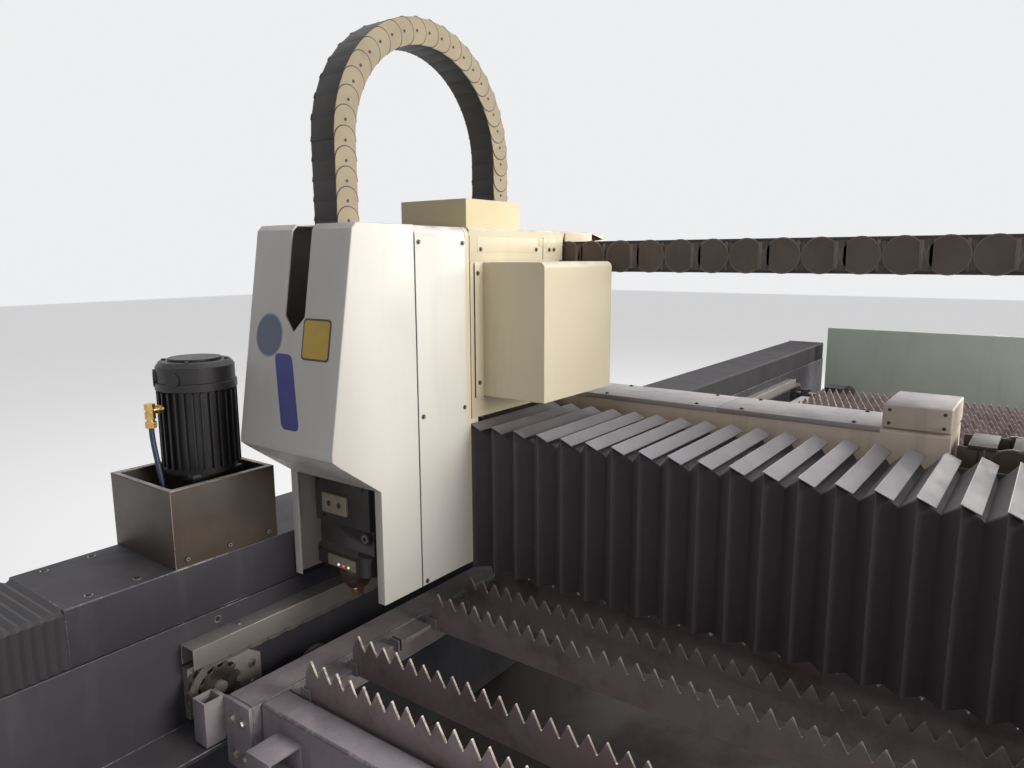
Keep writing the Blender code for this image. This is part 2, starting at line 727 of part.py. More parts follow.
SPROCKET_PIN_RADIUS = 0.014
BRACKET_HALF = 0.062


def sprocket_bracket(side, name):
    """A plate bolted to the beam with the pin that the front sprocket turns on."""
    bm = bmesh.new()
    far = BEAM_INNER_Y - GAP
    near = CHAIN_Y + CHAIN_WIDTH / 2 + 0.004
    prism(bm, [
        (FRONT_SPROCKET_X - BRACKET_HALF, CHAIN_Z - BRACKET_HALF),
        (FRONT_SPROCKET_X + 2 * BRACKET_HALF, CHAIN_Z - BRACKET_HALF),
        (FRONT_SPROCKET_X + 2 * BRACKET_HALF, CHAIN_Z + BRACKET_HALF / 3),
        (FRONT_SPROCKET_X + BRACKET_HALF, CHAIN_Z + BRACKET_HALF),
        (FRONT_SPROCKET_X - BRACKET_HALF, CHAIN_Z + BRACKET_HALF),
    ], "Y", (near, far))
    if side < 0:
        mirrored(bm)
    bracket = node(name, bm, "guard steel")
    tip = CHAIN_Y - SPROCKET_WIDTH / 2 - 0.010
    length = near + OVERLAP - tip
    join(bracket, lambda pin: rod(
        pin, (FRONT_SPROCKET_X, side * (tip + length / 2), CHAIN_Z), "Y", SPROCKET_PIN_RADIUS, length, 16))


def sprocket_outline(x):
    return gear_outline((x, CHAIN_Z), SPROCKET_RADIUS, SPROCKET_RADIUS - SPROCKET_TOOTH, SPROCKET_TEETH)


def sprocket(name, x, side, bore):
    """A toothed wheel on a horizontal axis."""
    bm = bmesh.new()
    outline = sprocket_outline(x)
    near, far = CHAIN_Y - SPROCKET_WIDTH / 2, CHAIN_Y + SPROCKET_WIDTH / 2
    prism(bm, outline, "Y", (near, far))
    if side < 0:
        mirrored(bm)
    wheel = node(name, bm, "bare steel")
    cut(wheel, lambda hole: rod(hole, (x, side * CHAIN_Y, CHAIN_Z), "Y", bore, 3 * SPROCKET_WIDTH, 16))
    return wheel


for side, place in ((1, "far"), (-1, "near")):
    guard_channel(side, "chain_guard_" + place)
    drive_chain(side, "drive_chain_" + place)
    sprocket_bracket(side, "sprocket_bracket_" + place)
    sprocket("idler_sprocket_" + place, FRONT_SPROCKET_X, side, SPROCKET_PIN_RADIUS + GAP)


def shaft_sprockets(bm, side):
    outline = sprocket_outline(REAR_SPROCKET_X)
    prism(bm, outline, "Y", (CHAIN_Y - SPROCKET_WIDTH / 2, CHAIN_Y + SPROCKET_WIDTH / 2))
    if side < 0:
        mirrored(bm)


bm = bmesh.new()
rod(bm, (REAR_SPROCKET_X, 0, CHAIN_Z), "Y", DRIVE_SHAFT_RADIUS, 2 * (CHAIN_Y + SPROCKET_WIDTH), 20)
drive_shaft = node("drive_shaft", bm, "bare steel")
join(drive_shaft, lambda bm: shaft_sprockets(bm, 1), lambda bm: shaft_sprockets(bm, -1))

# The gear motor sits on the cross member and turns the shaft through its hollow gearbox.
GEARBOX_Y = (CHAIN_Y - GEARBOX_INSET - GEARBOX_WIDTH, CHAIN_Y - GEARBOX_INSET)

bm = bmesh.new()
block(bm, (REAR_SPROCKET_X - GEARBOX_HALF, REAR_SPROCKET_X + GEARBOX_HALF), GEARBOX_Y,
      (DRIVE_SILL_TOP + GAP, CHAIN_Z + GEARBOX_HALF))
pallet_motor = node("pallet_drive_motor", bm, "motor black")
join(pallet_motor, lambda bm: rod(
    bm, (REAR_SPROCKET_X + GEARBOX_HALF + DRIVE_MOTOR_LENGTH / 2 - OVERLAP, sum(GEARBOX_Y) / 2,
         CHAIN_Z - DRIVE_MOTOR_DROP), "X", DRIVE_MOTOR_RADIUS, DRIVE_MOTOR_LENGTH, 20))
cut(pallet_motor, lambda bm: rod(
    bm, (REAR_SPROCKET_X, sum(GEARBOX_Y) / 2, CHAIN_Z), "Y", DRIVE_SHAFT_RADIUS + GAP, THROUGH, 20))


# Shuttle pallet: welded tube frame, slat grid and wheels

def pallet_side_tube(bm, side):
    y = sorted((side * PALLET_HALF_WIDTH, side * (PALLET_HALF_WIDTH - PALLET_TUBE)))
    block(bm, (PALLET_FRONT_X, PALLET_REAR_X), y, (PALLET_BOTTOM, PALLET_TOP))


def pallet_cross(bm):
    """End tubes at full height and lower cross tubes that carry the slats' combs."""
    across = (-PALLET_HALF_WIDTH + PALLET_TUBE - OVERLAP, PALLET_HALF_WIDTH - PALLET_TUBE + OVERLAP)
    block(bm, (PALLET_FRONT_X, PALLET_FRONT_X + PALLET_TUBE), across, (PALLET_BOTTOM, PALLET_TOP))
    block(bm, (PALLET_REAR_X - PALLET_TUBE, PALLET_REAR_X), across, (PALLET_BOTTOM, PALLET_TOP))
    first = PALLET_FRONT_X + PALLET_TUBE
    last = PALLET_REAR_X - PALLET_TUBE
    step = (last - first) / (PALLET_CROSS_TUBES + 1)
    for i in range(1, PALLET_CROSS_TUBES + 1):
        x = first + i * step
        block(bm, (x - PALLET_CROSS_WIDTH / 2, x + PALLET_CROSS_WIDTH / 2), across,
              (PALLET_BOTTOM, SLAT_BOTTOM - GAP))


def pallet_fittings(bm, side):
    """Corner posts, wheel axles and pull lugs of one side."""
    outer = PALLET_HALF_WIDTH
    for x in (PALLET_FRONT_X, PALLET_REAR_X - CORNER_POST_LENGTH):
        post_x = (x, x + CORNER_POST_LENGTH)
        pad_y = (outer - PALLET_TUBE, outer - CORNER_PLATE + OVERLAP)
        block(bm, post_x, (outer - CORNER_PLATE, outer), (PALLET_TOP - OVERLAP, CORNER_POST_TOP))
        block(bm, post_x, pad_y, (PALLET_TOP - OVERLAP, PALLET_TOP + CORNER_PAD))
    for x in (WHEEL_FRONT_X, WHEEL_REAR_X):
        length = WHEEL_WIDTH + 0.016 + OVERLAP
        rod(bm, (x, outer - OVERLAP + length / 2, WHEEL_Z), "Y", AXLE_RADIUS, length, 16)
    block(bm, (PALLET_FRONT_X - LUG_LENGTH, PALLET_FRONT_X + OVERLAP), (outer - 0.075, outer - 0.063),
          (PALLET_BOTTOM + 0.01, PALLET_TOP + 0.025))
    block(bm, (PALLET_FRONT_X - LUG_LENGTH, PALLET_FRONT_X + OVERLAP), (outer - 0.150, outer - 0.062),
          (PALLET_BOTTOM + 0.01, PALLET_BOTTOM + 0.022))
    if side < 0:
        mirrored(bm)


def pallet_catch(bm):
    """The catch that the chain's dog pulls, ahead of the front tube."""
    block(bm, (PALLET_FRONT_X - CATCH_LENGTH, PALLET_FRONT_X + OVERLAP), CATCH_Y,
          (PALLET_BOTTOM + 0.01, PALLET_TOP + 0.030))


bm = bmesh.new()
pallet_side_tube(bm, 1)
pallet_frame = node("pallet_frame", bm, "pallet paint")
join(pallet_frame, lambda bm: pallet_side_tube(bm, -1), pallet_cross, pallet_catch,
     lambda bm: pallet_fittings(bm, 1), lambda bm: pallet_fittings(bm, -1))


def slat_outline():
    """A slat seen along X: a straight foot, notched ends and a row of teeth."""
    points = [
        (SLAT_HALF_SPAN, SLAT_BOTTOM + COMB_HEIGHT / 2), (SLAT_HALF_SPAN - COMB_WIDTH, SLAT_BOTTOM),
        (-SLAT_HALF_SPAN + COMB_WIDTH, SLAT_BOTTOM), (-SLAT_HALF_SPAN, SLAT_BOTTOM + COMB_HEIGHT / 2),
    ]
    pitch = 2 * SLAT_HALF_SPAN / SLAT_TEETH
    for i in range(SLAT_TEETH):
        left = -SLAT_HALF_SPAN + i * pitch
        points.append((left, SLAT_TOP - TOOTH_DEPTH))
        points.append((left + pitch / 2, SLAT_TOP))
    points.append((SLAT_HALF_SPAN, SLAT_TOP - TOOTH_DEPTH))
    return points


def slats(bm):
    outline = slat_outline()
    for i in range(SLAT_POSITIONS):
        if i != SLAT_MISSING:
            x = SLAT_FIRST_X + i * SLAT_PITCH
            prism(bm, outline, "X", (x - SLAT_THICKNESS / 2, x + SLAT_THICKNESS / 2))


def comb(bm, side):
    y = sorted((side * (SLAT_HALF_SPAN - COMB_WIDTH), side * (SLAT_HALF_SPAN + COMB_WIDTH / 2)))
    last = SLAT_FIRST_X + (SLAT_POSITIONS - 1) * SLAT_PITCH
    block(bm, (SLAT_FIRST_X - SLAT_THICKNESS - 0.006, last + SLAT_THICKNESS), y,
          (SLAT_BOTTOM, SLAT_BOTTOM + COMB_HEIGHT))


bm = bmesh.new()
comb(bm, 1)
slat_grid = node("slat_grid", bm, "slat steel")
join(slat_grid, slats, lambda bm: comb(bm, -1))


def pallet_wheel(name, x, side):
    """A grooved steel wheel on its stub axle."""
    near = PALLET_HALF_WIDTH + 0.004
    bm = bmesh.new()
    rod(bm, (x, side * (near + WHEEL_WIDTH / 2), WHEEL_Z), "Y", WHEEL_RADIUS, WHEEL_WIDTH, 24)
    wheel = node(name, bm, "wheel")
    cut(wheel, lambda hole: rod(
        hole, (x, side * (near + WHEEL_WIDTH / 2), WHEEL_Z), "Y", AXLE_RADIUS + GAP, 2 * WHEEL_WIDTH, 16))


for side, place in ((1, "far"), (-1, "near")):
    pallet_wheel("pallet_wheel_front_" + place, WHEEL_FRONT_X, side)
    pallet_wheel("pallet_wheel_rear_" + place, WHEEL_REAR_X, side)


# Gantry: cast saddles on the X rails with the beam across them

def saddle(side, name):
    """A bridge-shaped casting: the notch takes the beam, skirts close its sides, cheeks grip the rail."""
    bm = bmesh.new()
    notch = GANTRY_BOTTOM - GAP
    prism(bm, [
        (SADDLE_FRONT_X, SADDLE_UNDERSIDE), (SADDLE_REAR_X, SADDLE_UNDERSIDE),
        (SADDLE_REAR_X, X_COVER_TOP), (SADDLE_NOTCH_REAR_X, X_COVER_TOP),
        (SADDLE_NOTCH_REAR_X, notch), (SADDLE_NOTCH_FRONT_X, notch),
        (SADDLE_NOTCH_FRONT_X, X_COVER_TOP), (SADDLE_FRONT_X, X_COVER_TOP),
    ], "Y", (BEAM_INNER_Y, SADDLE_OUTER_Y))
    if side < 0:
        mirrored(bm)
    casting = node(name, bm, "bed paint")

    def skirts(tool):
        for y in (BEAM_INNER_Y, SADDLE_OUTER_Y - SADDLE_SKIRT):
            block(tool, (SADDLE_FRONT_X, SADDLE_REAR_X), (y, y + SADDLE_SKIRT),
                  (X_COVER_BOTTOM, SADDLE_UNDERSIDE + OVERLAP))
        if side < 0:
            mirrored(tool)

    def runners(tool):
        half = RAIL_WIDTH / 2 + RUNNING
        for x in (SADDLE_FRONT_X + RUNNER_LENGTH, SADDLE_REAR_X - RUNNER_LENGTH):
            for y in (X_RAIL_Y - half - RUNNER_WALL, X_RAIL_Y + half):
                block(tool, (x - RUNNER_LENGTH / 2, x + RUNNER_LENGTH / 2), (y, y + RUNNER_WALL),
                      (BEAM_TOP + 0.005, SADDLE_UNDERSIDE + OVERLAP))
        if side < 0:
            mirrored(tool)

    join(casting, skirts, runners)
    cut(casting, lambda tool: rod(
        tool, (X_MOTOR_X, side * X_PINION_Y, X_COVER_TOP), "Z", PINION_RADIUS * 0.45, THROUGH, 16))


def motor_guard(side, name):
    """Four walls of folded sheet round the motor's foot, open at the top."""
    bm = bmesh.new()
    near, far = BEAM_INNER_Y + 0.001, SADDLE_OUTER_Y - 0.001
    block(bm, (GUARD_FRONT_X, GUARD_REAR_X), (near, far), (X_COVER_TOP + GAP, GUARD_TOP))
    if side < 0:
        mirrored(bm)
    box = node(name, bm, "box paint")

    def inside(tool):
        block(tool, (GUARD_FRONT_X + SHEET, GUARD_REAR_X - SHEET), (near + SHEET, far - SHEET),
              (X_COVER_TOP - 0.05, GUARD_TOP + 0.05))
        if side < 0:
            mirrored(tool)

    cut(box, inside)


def x_motor(side, name):
    """Gearbox flange, gearbox, servo motor and its domed cap, on a vertical axis."""
    foot = X_COVER_TOP + GAP
    half = MOTOR_BASE / 2
    bm = bmesh.new()
    block(bm, (X_MOTOR_X - half, X_MOTOR_X + half), (X_PINION_Y - half, X_PINION_Y + half),
          (foot, foot + MOTOR_FLANGE))
    if side < 0:
        mirrored(bm)
    motor = node(name, bm, "motor black")
    cap = MOTOR_CAP_RADIUS
    top = MOTOR_TOP - foot
    join(motor, lambda tool: turned(tool, [
        (0.0, 0.04), (half * 0.95, 0.04), (half * 0.95, 0.17), (half * 0.8, 0.18), (half * 0.8, 0.22),
        (cap, 0.235), (cap, top - 0.035), (cap * 0.93, top - 0.012), (cap * 0.72, top), (0.0, top),
    ], Vector((X_MOTOR_X, side * X_PINION_Y, foot)), 20))


def x_pinion(side, name):
    """The pinion that climbs the rack, with its shaft up into the gearbox."""
    bm = bmesh.new()
    outline = gear_outline(
        (X_MOTOR_X, X_PINION_Y), PINION_RADIUS, PINION_RADIUS - PINION_TOOTH, PINION_TEETH)
    prism(bm, outline, "Z", (BEAM_TOP + 0.005, BEAM_TOP + RACK_HEIGHT - 0.002))
    if side < 0:
        mirrored(bm)
    pinion = node(name, bm, "bare steel")
    low = BEAM_TOP + 0.010
    high = X_COVER_TOP - GAP
    join(pinion, lambda tool: rod(
        tool, (X_MOTOR_X, side * X_PINION_Y, (low + high) / 2), "Z", PINION_RADIUS * 0.35, high - low, 16))


for side, place in ((1, "far"), (-1, "near")):
    saddle(side, "saddle_" + place)
    motor_guard(side, "motor_guard_" + place)
    x_motor(side, "x_motor_" + place)
    x_pinion(side, "x_pinion_" + place)

# Hollow box beam with its Y rack on top
bm = bmesh.new()
block(bm, (GANTRY_FRONT_X, GANTRY_REAR_X), (-GANTRY_HALF_SPAN, GANTRY_HALF_SPAN), (GANTRY_BOTTOM, GANTRY_TOP))
gantry_beam = node("gantry_beam", bm, "bed paint")
BEAM_WALL = 0.012
cut(gantry_beam, lambda bm: block(
    bm, (GANTRY_FRONT_X + BEAM_WALL, GANTRY_REAR_X - BEAM_WALL),
    (-GANTRY_HALF_SPAN - BEAM_WALL, GANTRY_HALF_SPAN + BEAM_WALL),
    (GANTRY_BOTTOM + BEAM_WALL, GANTRY_TOP - BEAM_WALL)))
join(gantry_beam, lambda bm: block(
    bm, (Y_RACK_X - RACK_WIDTH / 2, Y_RACK_X + RACK_WIDTH / 2), (-Y_RAIL_HALF_SPAN, Y_RAIL_HALF_SPAN),
    (GANTRY_TOP - OVERLAP, GANTRY_TOP + RACK_HEIGHT - 0.005)))


def y_rail(name, z):
    """A guide rail with waisted flanks, on the front of the beam."""
    front, back = RAIL_FRONT_X, GANTRY_FRONT_X - GAP
    half = RAIL_WIDTH / 2
    waist = half * 0.7
    third = (back - front) / 3
    bm = bmesh.new()
    prism(bm, [
        (back, z - half), (back, z + half), (back - third, z + waist), (front + third, z + waist),
        (front, z + half), (front, z - half), (front + third, z - waist), (back - third, z - waist),
    ], "Y", (-Y_RAIL_HALF_SPAN, Y_RAIL_HALF_SPAN))
    node(name, bm, "bare steel")


y_rail("y_rail_lower", Y_RAIL_LOW_Z)
y_rail("y_rail_upper", Y_RAIL_HIGH_Z)


# Bellows over the gantry, with stiff lamellas at the ridges

def hood_ring(y, inset, bottom_front, bottom_rear):
    """An inverted U across Y."""
    inner = Y_COVER_DEPTH + Y_COVER_WALL
    front, rear, top = Y_COVER_FRONT_X, Y_COVER_REAR_X, Y_COVER_TOP
    return [
        (front + inset, y, bottom_front), (front + inset, y, top - inset),
        (rear - inset, y, top - inset), (rear - inset, y, bottom_rear),
        (rear - inner, y, bottom_rear), (rear - inner, y, top - inner),
        (front + inner, y, top - inner), (front + inner, y, bottom_front),
    ]


def y_bellows(name, start, stop, pleats, bottom_front):
    """Each pleat drops gently over its lamella, then folds sharply in and rises to the next ridge."""
    bm = bmesh.new()
    rings = []
    pitch = (stop - start) / pleats
    for i in range(pleats):
        y = start + i * pitch
        rings.append(hood_ring(y, 0.0, bottom_front, Y_COVER_BOTTOM_REAR))
        rings.append(hood_ring(y + 0.43 * pitch, Y_COVER_LEDGE, bottom_front, Y_COVER_BOTTOM_REAR))
        rings.append(hood_ring(y + 0.62 * pitch, Y_COVER_DEPTH, bottom_front, Y_COVER_BOTTOM_REAR))
    rings.append(hood_ring(stop, 0.0, bottom_front, Y_COVER_BOTTOM_REAR))
    loft(bm, rings)
    node(name, bm, "bellows cloth")


Y_RUN_START = COVER_NEAR_Y - GAP
Y_RUN_PLEATS = round((Y_RUN_START - Y_COVER_NEAR_END) / Y_COVER_PITCH)
y_bellows("y_bellows_near", Y_RUN_START, Y_COVER_NEAR_END, Y_RUN_PLEATS, Y_COVER_BOTTOM_FRONT)
Y_STACK_START = COVER_FAR_Y + GAP
y_bellows("y_bellows_far", Y_STACK_START, Y_STACK_START + Y_STACK_LENGTH, Y_STACK_PLEATS, Y_COVER_BOTTOM_REAR)


# Carrier, cable duct and chain tray along the back of the gantry

CARRIER_WEB = 0.020
ARM_WIDTH = 0.12
CARRIER_ARMS_Y = (-0.85 * DUCT_FAR_END, 0.0, 0.85 * DUCT_FAR_END)


def carrier_arms(bm):
    for y in CARRIER_ARMS_Y:
        block(bm, (GANTRY_FRONT_X + 0.03, DUCT_FRONT_X + CARRIER_WEB), (y - ARM_WIDTH / 2, y + ARM_WIDTH / 2),
              (GANTRY_BOTTOM - GAP - CARRIER_THICKNESS, GANTRY_BOTTOM - GAP))


bm = bmesh.new()
shelf_top = CARRIER_SHELF_Z - GAP
arm_low = GANTRY_BOTTOM - GAP - CARRIER_THICKNESS
prism(bm, [
    (DUCT_FRONT_X, arm_low), (DUCT_FRONT_X + CARRIER_WEB, arm_low),
    (DUCT_FRONT_X + CARRIER_WEB, shelf_top - CARRIER_WEB), (DUCT_REAR_X, shelf_top - CARRIER_WEB),
    (DUCT_REAR_X, shelf_top), (DUCT_FRONT_X, shelf_top),
], "Y", (-DUCT_FAR_END, DUCT_FAR_END))
carrier = node("rear_carrier", bm, "bed paint")
join(carrier, carrier_arms)

bm = bmesh.new()
duct_radius = 0.008
prism(bm, [
    (DUCT_FRONT_X, CARRIER_SHELF_Z), (DUCT_REAR_X, CARRIER_SHELF_Z), (DUCT_REAR_X, DUCT_TOP - duct_radius),
    (DUCT_REAR_X - duct_radius, DUCT_TOP), (DUCT_FRONT_X + duct_radius, DUCT_TOP),
    (DUCT_FRONT_X, DUCT_TOP - duct_radius),
], "Y", (DUCT_NEAR_END, DUCT_FAR_END))
node("cable_duct", bm, "duct paint")

bm = bmesh.new()
block(bm, (DUCT_FRONT_X, END_BOX_REAR_X), (DUCT_NEAR_END, DUCT_NEAR_END + END_BOX_LENGTH),
      (DUCT_TOP + GAP, END_BOX_TOP))
end_box = node("duct_end_box", bm, "duct paint")
end_box.modifiers.new("Edges", "BEVEL").width = 0.003

bm = bmesh.new()
tray_side = 0.004
prism(bm, [
    (DUCT_FRONT_X, CARRIER_SHELF_Z), (DUCT_FRONT_X + tray_side, CARRIER_SHELF_Z),
    (DUCT_FRONT_X + tray_side, TRAY_FLOOR - 0.004), (DUCT_REAR_X - tray_side, TRAY_FLOOR - 0.004),
    (DUCT_REAR_X - tray_side, CARRIER_SHELF_Z), (DUCT_REAR_X, CARRIER_SHELF_Z),
    (DUCT_REAR_X, TRAY_LIP), (DUCT_REAR_X - tray_side, TRAY_LIP), (DUCT_REAR_X - tray_side, TRAY_FLOOR),
    (DUCT_FRONT_X + tray_side, TRAY_FLOOR), (DUCT_FRONT_X + tray_side, TRAY_LIP), (DUCT_FRONT_X, TRAY_LIP),
], "Y", (TRAY_NEAR_END, DUCT_NEAR_END - GAP))
node("chain_tray", bm, "guard steel")


# Cable chains. A chain is lofted along its links, whose side plates step in and out by turns.

def chain_body(bm, path, along_axis, across, half_height):
    """Loft a chain through (point, outward) pairs in the plane across the across-axis."""
    rings = []
    for i in range(len(path)):
        (a, b), (out_a, out_b) = path[i]
        step = CHAIN_STEP if i % 4 in (2, 3) else 0.0
        low, high = across[0] + step, across[1] - step
        ring = []
        for side, width in ((1, low), (1, high), (-1, high), (-1, low)):
            p, q = a + side * out_a * half_height, b + side * out_b * half_height
            ring.append((width, p, q) if along_axis == "Y" else (p, width, q))
        rings.append(ring)
    loft(bm, rings)


def link_stations(points):
    """Two stations close together at each link joint, so a side plate steps in or out there."""
    stations = []
    for i in range(len(points) - 1):
        (a0, b0), out0 = points[i]
        (a1, b1), out1 = points[i + 1]
        for share in (0.04, 0.96):
            out = (out0[0] + (out1[0] - out0[0]) * share, out0[1] + (out1[1] - out0[1]) * share)
            stations.append(((a0 + (a1 - a0) * share, b0 + (b1 - b0) * share), out))
    return stations


def y_chain_points():
    """Upper run, half turn and lower run as (y, z) with outward directions."""
    centre_z = Y_CHAIN_TOP_Z - Y_CHAIN_RADIUS
    start = COVER_NEAR_Y - 0.006
    upper = round((start - Y_CHAIN_BEND_Y) / Y_CHAIN_PITCH)
    turn = round(math.pi * Y_CHAIN_RADIUS / Y_CHAIN_PITCH)
    lower = 2
    points = []
    for i in range(upper):
        points.append(((start + (Y_CHAIN_BEND_Y - start) * i / upper, Y_CHAIN_TOP_Z), (0, 1)))
    for i in range(turn):
        angle = math.pi / 2 + math.pi * i / turn
        out = (math.cos(angle), math.sin(angle))
        points.append(((Y_CHAIN_BEND_Y + Y_CHAIN_RADIUS * out[0], centre_z + Y_CHAIN_RADIUS * out[1]), out))
    for i in range(lower + 1):
        y = Y_CHAIN_BEND_Y + (DUCT_NEAR_END - GAP - Y_CHAIN_BEND_Y) * i / lower
        points.append(((y, centre_z - Y_CHAIN_RADIUS), (0, -1)))
    return points


bm = bmesh.new()
chain_body(bm, link_stations(y_chain_points()), "Y", (Y_CHAIN_FRONT_X, Y_CHAIN_REAR_X), Y_CHAIN_HEIGHT / 2)
node("y_cable_chain", bm, "chain brown")


def arch_points():
    """Left leg up, round the arch and down the right leg as (x, z) with outward directions."""
    points = []
    left = round((ARCH_CENTRE_Z - ARCH_LEFT_END_Z) / ARCH_STRAIGHT_PITCH)
    right = round((ARCH_CENTRE_Z - ARCH_RIGHT_END_Z) / ARCH_STRAIGHT_PITCH)
    for i in range(left):
        height = ARCH_LEFT_END_Z + (ARCH_CENTRE_Z - ARCH_LEFT_END_Z) * i / left
        points.append(((ARCH_LEFT_X, height), (-1, 0)))
    for i in range(ARCH_LINKS_ROUND):
        angle = math.pi - math.pi * i / ARCH_LINKS_ROUND
        out = (math.cos(angle), math.sin(angle))
        points.append(((ARCH_CENTRE_X + ARCH_RADIUS * out[0], ARCH_CENTRE_Z + ARCH_RADIUS * out[1]), out))
    for i in range(right + 1):
        height = ARCH_CENTRE_Z + (ARCH_RIGHT_END_Z - ARCH_CENTRE_Z) * i / right
        points.append(((ARCH_RIGHT_X, height), (1, 0)))
    return points


bm = bmesh.new()
ARCH_SIDES_Y = (ARCH_Y - ARCH_WIDTH / 2, ARCH_Y + ARCH_WIDTH / 2)
chain_body(bm, link_stations(arch_points()), "X", ARCH_SIDES_Y, ARCH_DEPTH / 2)
node("arch_cable_chain", bm, "chain beige")


# Carriage covers

def nose_outline(inset):
    """Side view of the front cover: flat top, leaning nose with a rounded tip, stepped legs."""
    tip = 0.018
    return [
        (COVER_SEAM_X, COVER_TOP - inset),
        (NOSE_TOP_X + 0.012 + inset, COVER_TOP - inset),
        (NOSE_TOP_X + inset, COVER_TOP - 0.012 - inset),
        (NOSE_TIP_X + inset, NOSE_TIP_Z + tip),
        (NOSE_TIP_X + inset, NOSE_TIP_Z + inset * 0.5),
        (NOSE_TIP_X + tip, NOSE_TIP_Z - tip * 0.8 + inset),
        (LEG_FRONT_X + 0.005, LEG_TOP_Z + inset),
        (COVER_SEAM_X, LEG_TOP_Z + inset),
    ]


def round_long_edges(bm, radius, spans):
    """Bevel the edges where the top and the nose meet the two sides."""
    chosen = []
    for edge in bm.edges:
        a, b = edge.verts
        on_side = any(abs(a.co.y - y) < 1e-5 and abs(b.co.y - y) < 1e-5 for y in spans)
        high = min(a.co.z, b.co.z) > NOSE_TIP_Z + 0.01
        at_seam = abs(a.co.x - COVER_SEAM_X) < 1e-5 and abs(b.co.x - COVER_SEAM_X) < 1e-5
        if on_side and high and not at_seam:
            chosen.append(edge)
    bmesh.ops.bevel(
        bm, geom=chosen, offset=radius, segments=3, profile=0.5, affect="EDGES", clamp_overlap=True)


def nose_solid(bm, inset, seam_extra=0.0):
    outline = nose_outline(inset)
    if seam_extra:
        outline[0] = (COVER_SEAM_X + seam_extra, outline[0][1])
        outline[-1] = (COVER_SEAM_X + seam_extra, outline[-1][1] - 0.1)
        outline[-2] = (outline[-2][0], outline[-2][1] - 0.1)
        outline.insert(-2, (outline[-2][0], LEG_TOP_Z + inset))
    near, far = COVER_NEAR_Y + inset, COVER_FAR_Y - inset
    prism(bm, outline, "Y", (near, far))
    if not seam_extra:
        round_long_edges(bm, COVER_RADIUS, (near, far))


def cover_legs(bm):
    """The two side plates below the nose, each with a folded front flange."""
    back = COVER_SEAM_X
    fold = LEG_FRONT_X + COVER_WALL
    for near, far, flange in (
        (COVER_NEAR_Y, COVER_NEAR_Y + COVER_WALL, (COVER_NEAR_Y, COVER_NEAR_Y + LEG_FLANGE)),
        (COVER_FAR_Y - COVER_WALL, COVER_FAR_Y, (COVER_FAR_Y - LEG_FLANGE, COVER_FAR_Y)),
    ):
        outline = [(LEG_FRONT_X, flange[0]), (LEG_FRONT_X, flange[1])]
        if far == COVER_FAR_Y:
            outline += [(back, far), (back, near), (fold, near), (fold, flange[0])]
        else:
            outline += [(fold, flange[1]), (fold, far), (back, far), (back, near)]
        prism(bm, outline, "Z", (COVER_BOTTOM, LEG_TOP_Z + 0.003))


bm = bmesh.new()
nose_solid(bm, 0.0)
cover_front = node("cover_front", bm, "cover paint")
cut(cover_front, lambda bm: nose_solid(bm, COVER_WALL, 0.05))
join(cover_front, cover_legs)


def cable_slot(bm):
    """The pointed slot down the nose in front of the arched chain, a little narrower than the chain."""
    half = CABLE_SLOT_WIDTH / 2
    shoulder = CABLE_SLOT_POINT_Z + half
    prism(bm, [
        (ARCH_Y - half, COVER_TOP + 0.02), (ARCH_Y + half, COVER_TOP + 0.02), (ARCH_Y + half, shoulder),
        (ARCH_Y, CABLE_SLOT_POINT_Z), (ARCH_Y - half, shoulder),
    ], "X", (NOSE_TIP_X - 0.05, ARCH_LEFT_X - ARCH_DEPTH / 2))


def chain_opening(bm):
    """The opening in the cover's top that the arched chain goes down through."""
    half = ARCH_WIDTH / 2 + CABLE_SLOT_CLEAR
    depth = ARCH_DEPTH / 2 + CABLE_SLOT_CLEAR
    block(bm, (ARCH_LEFT_X - depth, ARCH_LEFT_X + depth), (ARCH_Y - half, ARCH_Y + half),
          (COVER_TOP - 3 * COVER_WALL, COVER_TOP + 0.02))


cut(cover_front, cable_slot, chain_opening)


def hood_outline(inset, top_radius):
    """A U open at the bottom, seen along X, with rounded shoulders."""
    near, far, top = COVER_NEAR_Y + inset, COVER_FAR_Y - inset, COVER_TOP - inset
    return (
        arc((far - top_radius, top - top_radius), top_radius, 0, 90, 4)
        + arc((near + top_radius, top - top_radius), top_radius, 90, 180, 4)
    )


bm = bmesh.new()
seam = COVER_SEAM_X + 0.0008
outer = [(COVER_FAR_Y, COVER_BOTTOM)] + hood_outline(0.0, COVER_RADIUS) + [(COVER_NEAR_Y, COVER_BOTTOM)]
inner = hood_outline(COVER_WALL, COVER_RADIUS - COVER_WALL)
outer += [(COVER_NEAR_Y + COVER_WALL, COVER_BOTTOM)] + inner[::-1]
outer += [(COVER_FAR_Y - COVER_WALL, COVER_BOTTOM)]
prism(bm, outer, "X", (seam, COVER_REAR_X))
node("cover_rear", bm, "cover paint")


# Arm over the gantry, with the tongue and tab that pull the Y chain

ARM_FRONT_X = COVER_REAR_X + 0.0008
bm = bmesh.new()
near, far = COVER_NEAR_Y, COVER_FAR_Y
prism(bm, [
    (near, ARM_BOTTOM), (near, COVER_TOP - ARM_CHAMFER), (near + ARM_CHAMFER, COVER_TOP),
    (far - ARM_CHAMFER, COVER_TOP), (far, COVER_TOP - ARM_CHAMFER),
    (far, ARM_BOTTOM), (far - SHEET, ARM_BOTTOM), (far - SHEET, COVER_TOP - SHEET - 0.004),
    (near + SHEET, COVER_TOP - SHEET - 0.004), (near + SHEET, ARM_BOTTOM),
], "X", (ARM_FRONT_X, ARM_REAR_X))
top_arm = node("top_arm", bm, "cover paint")


def arm_strip(bm):
    block(bm, (ARM_REAR_X - OVERLAP, ARM_STRIP_REAR_X), (COVER_NEAR_Y, COVER_FAR_Y),
          (ARM_STRIP_BOTTOM, COVER_TOP))


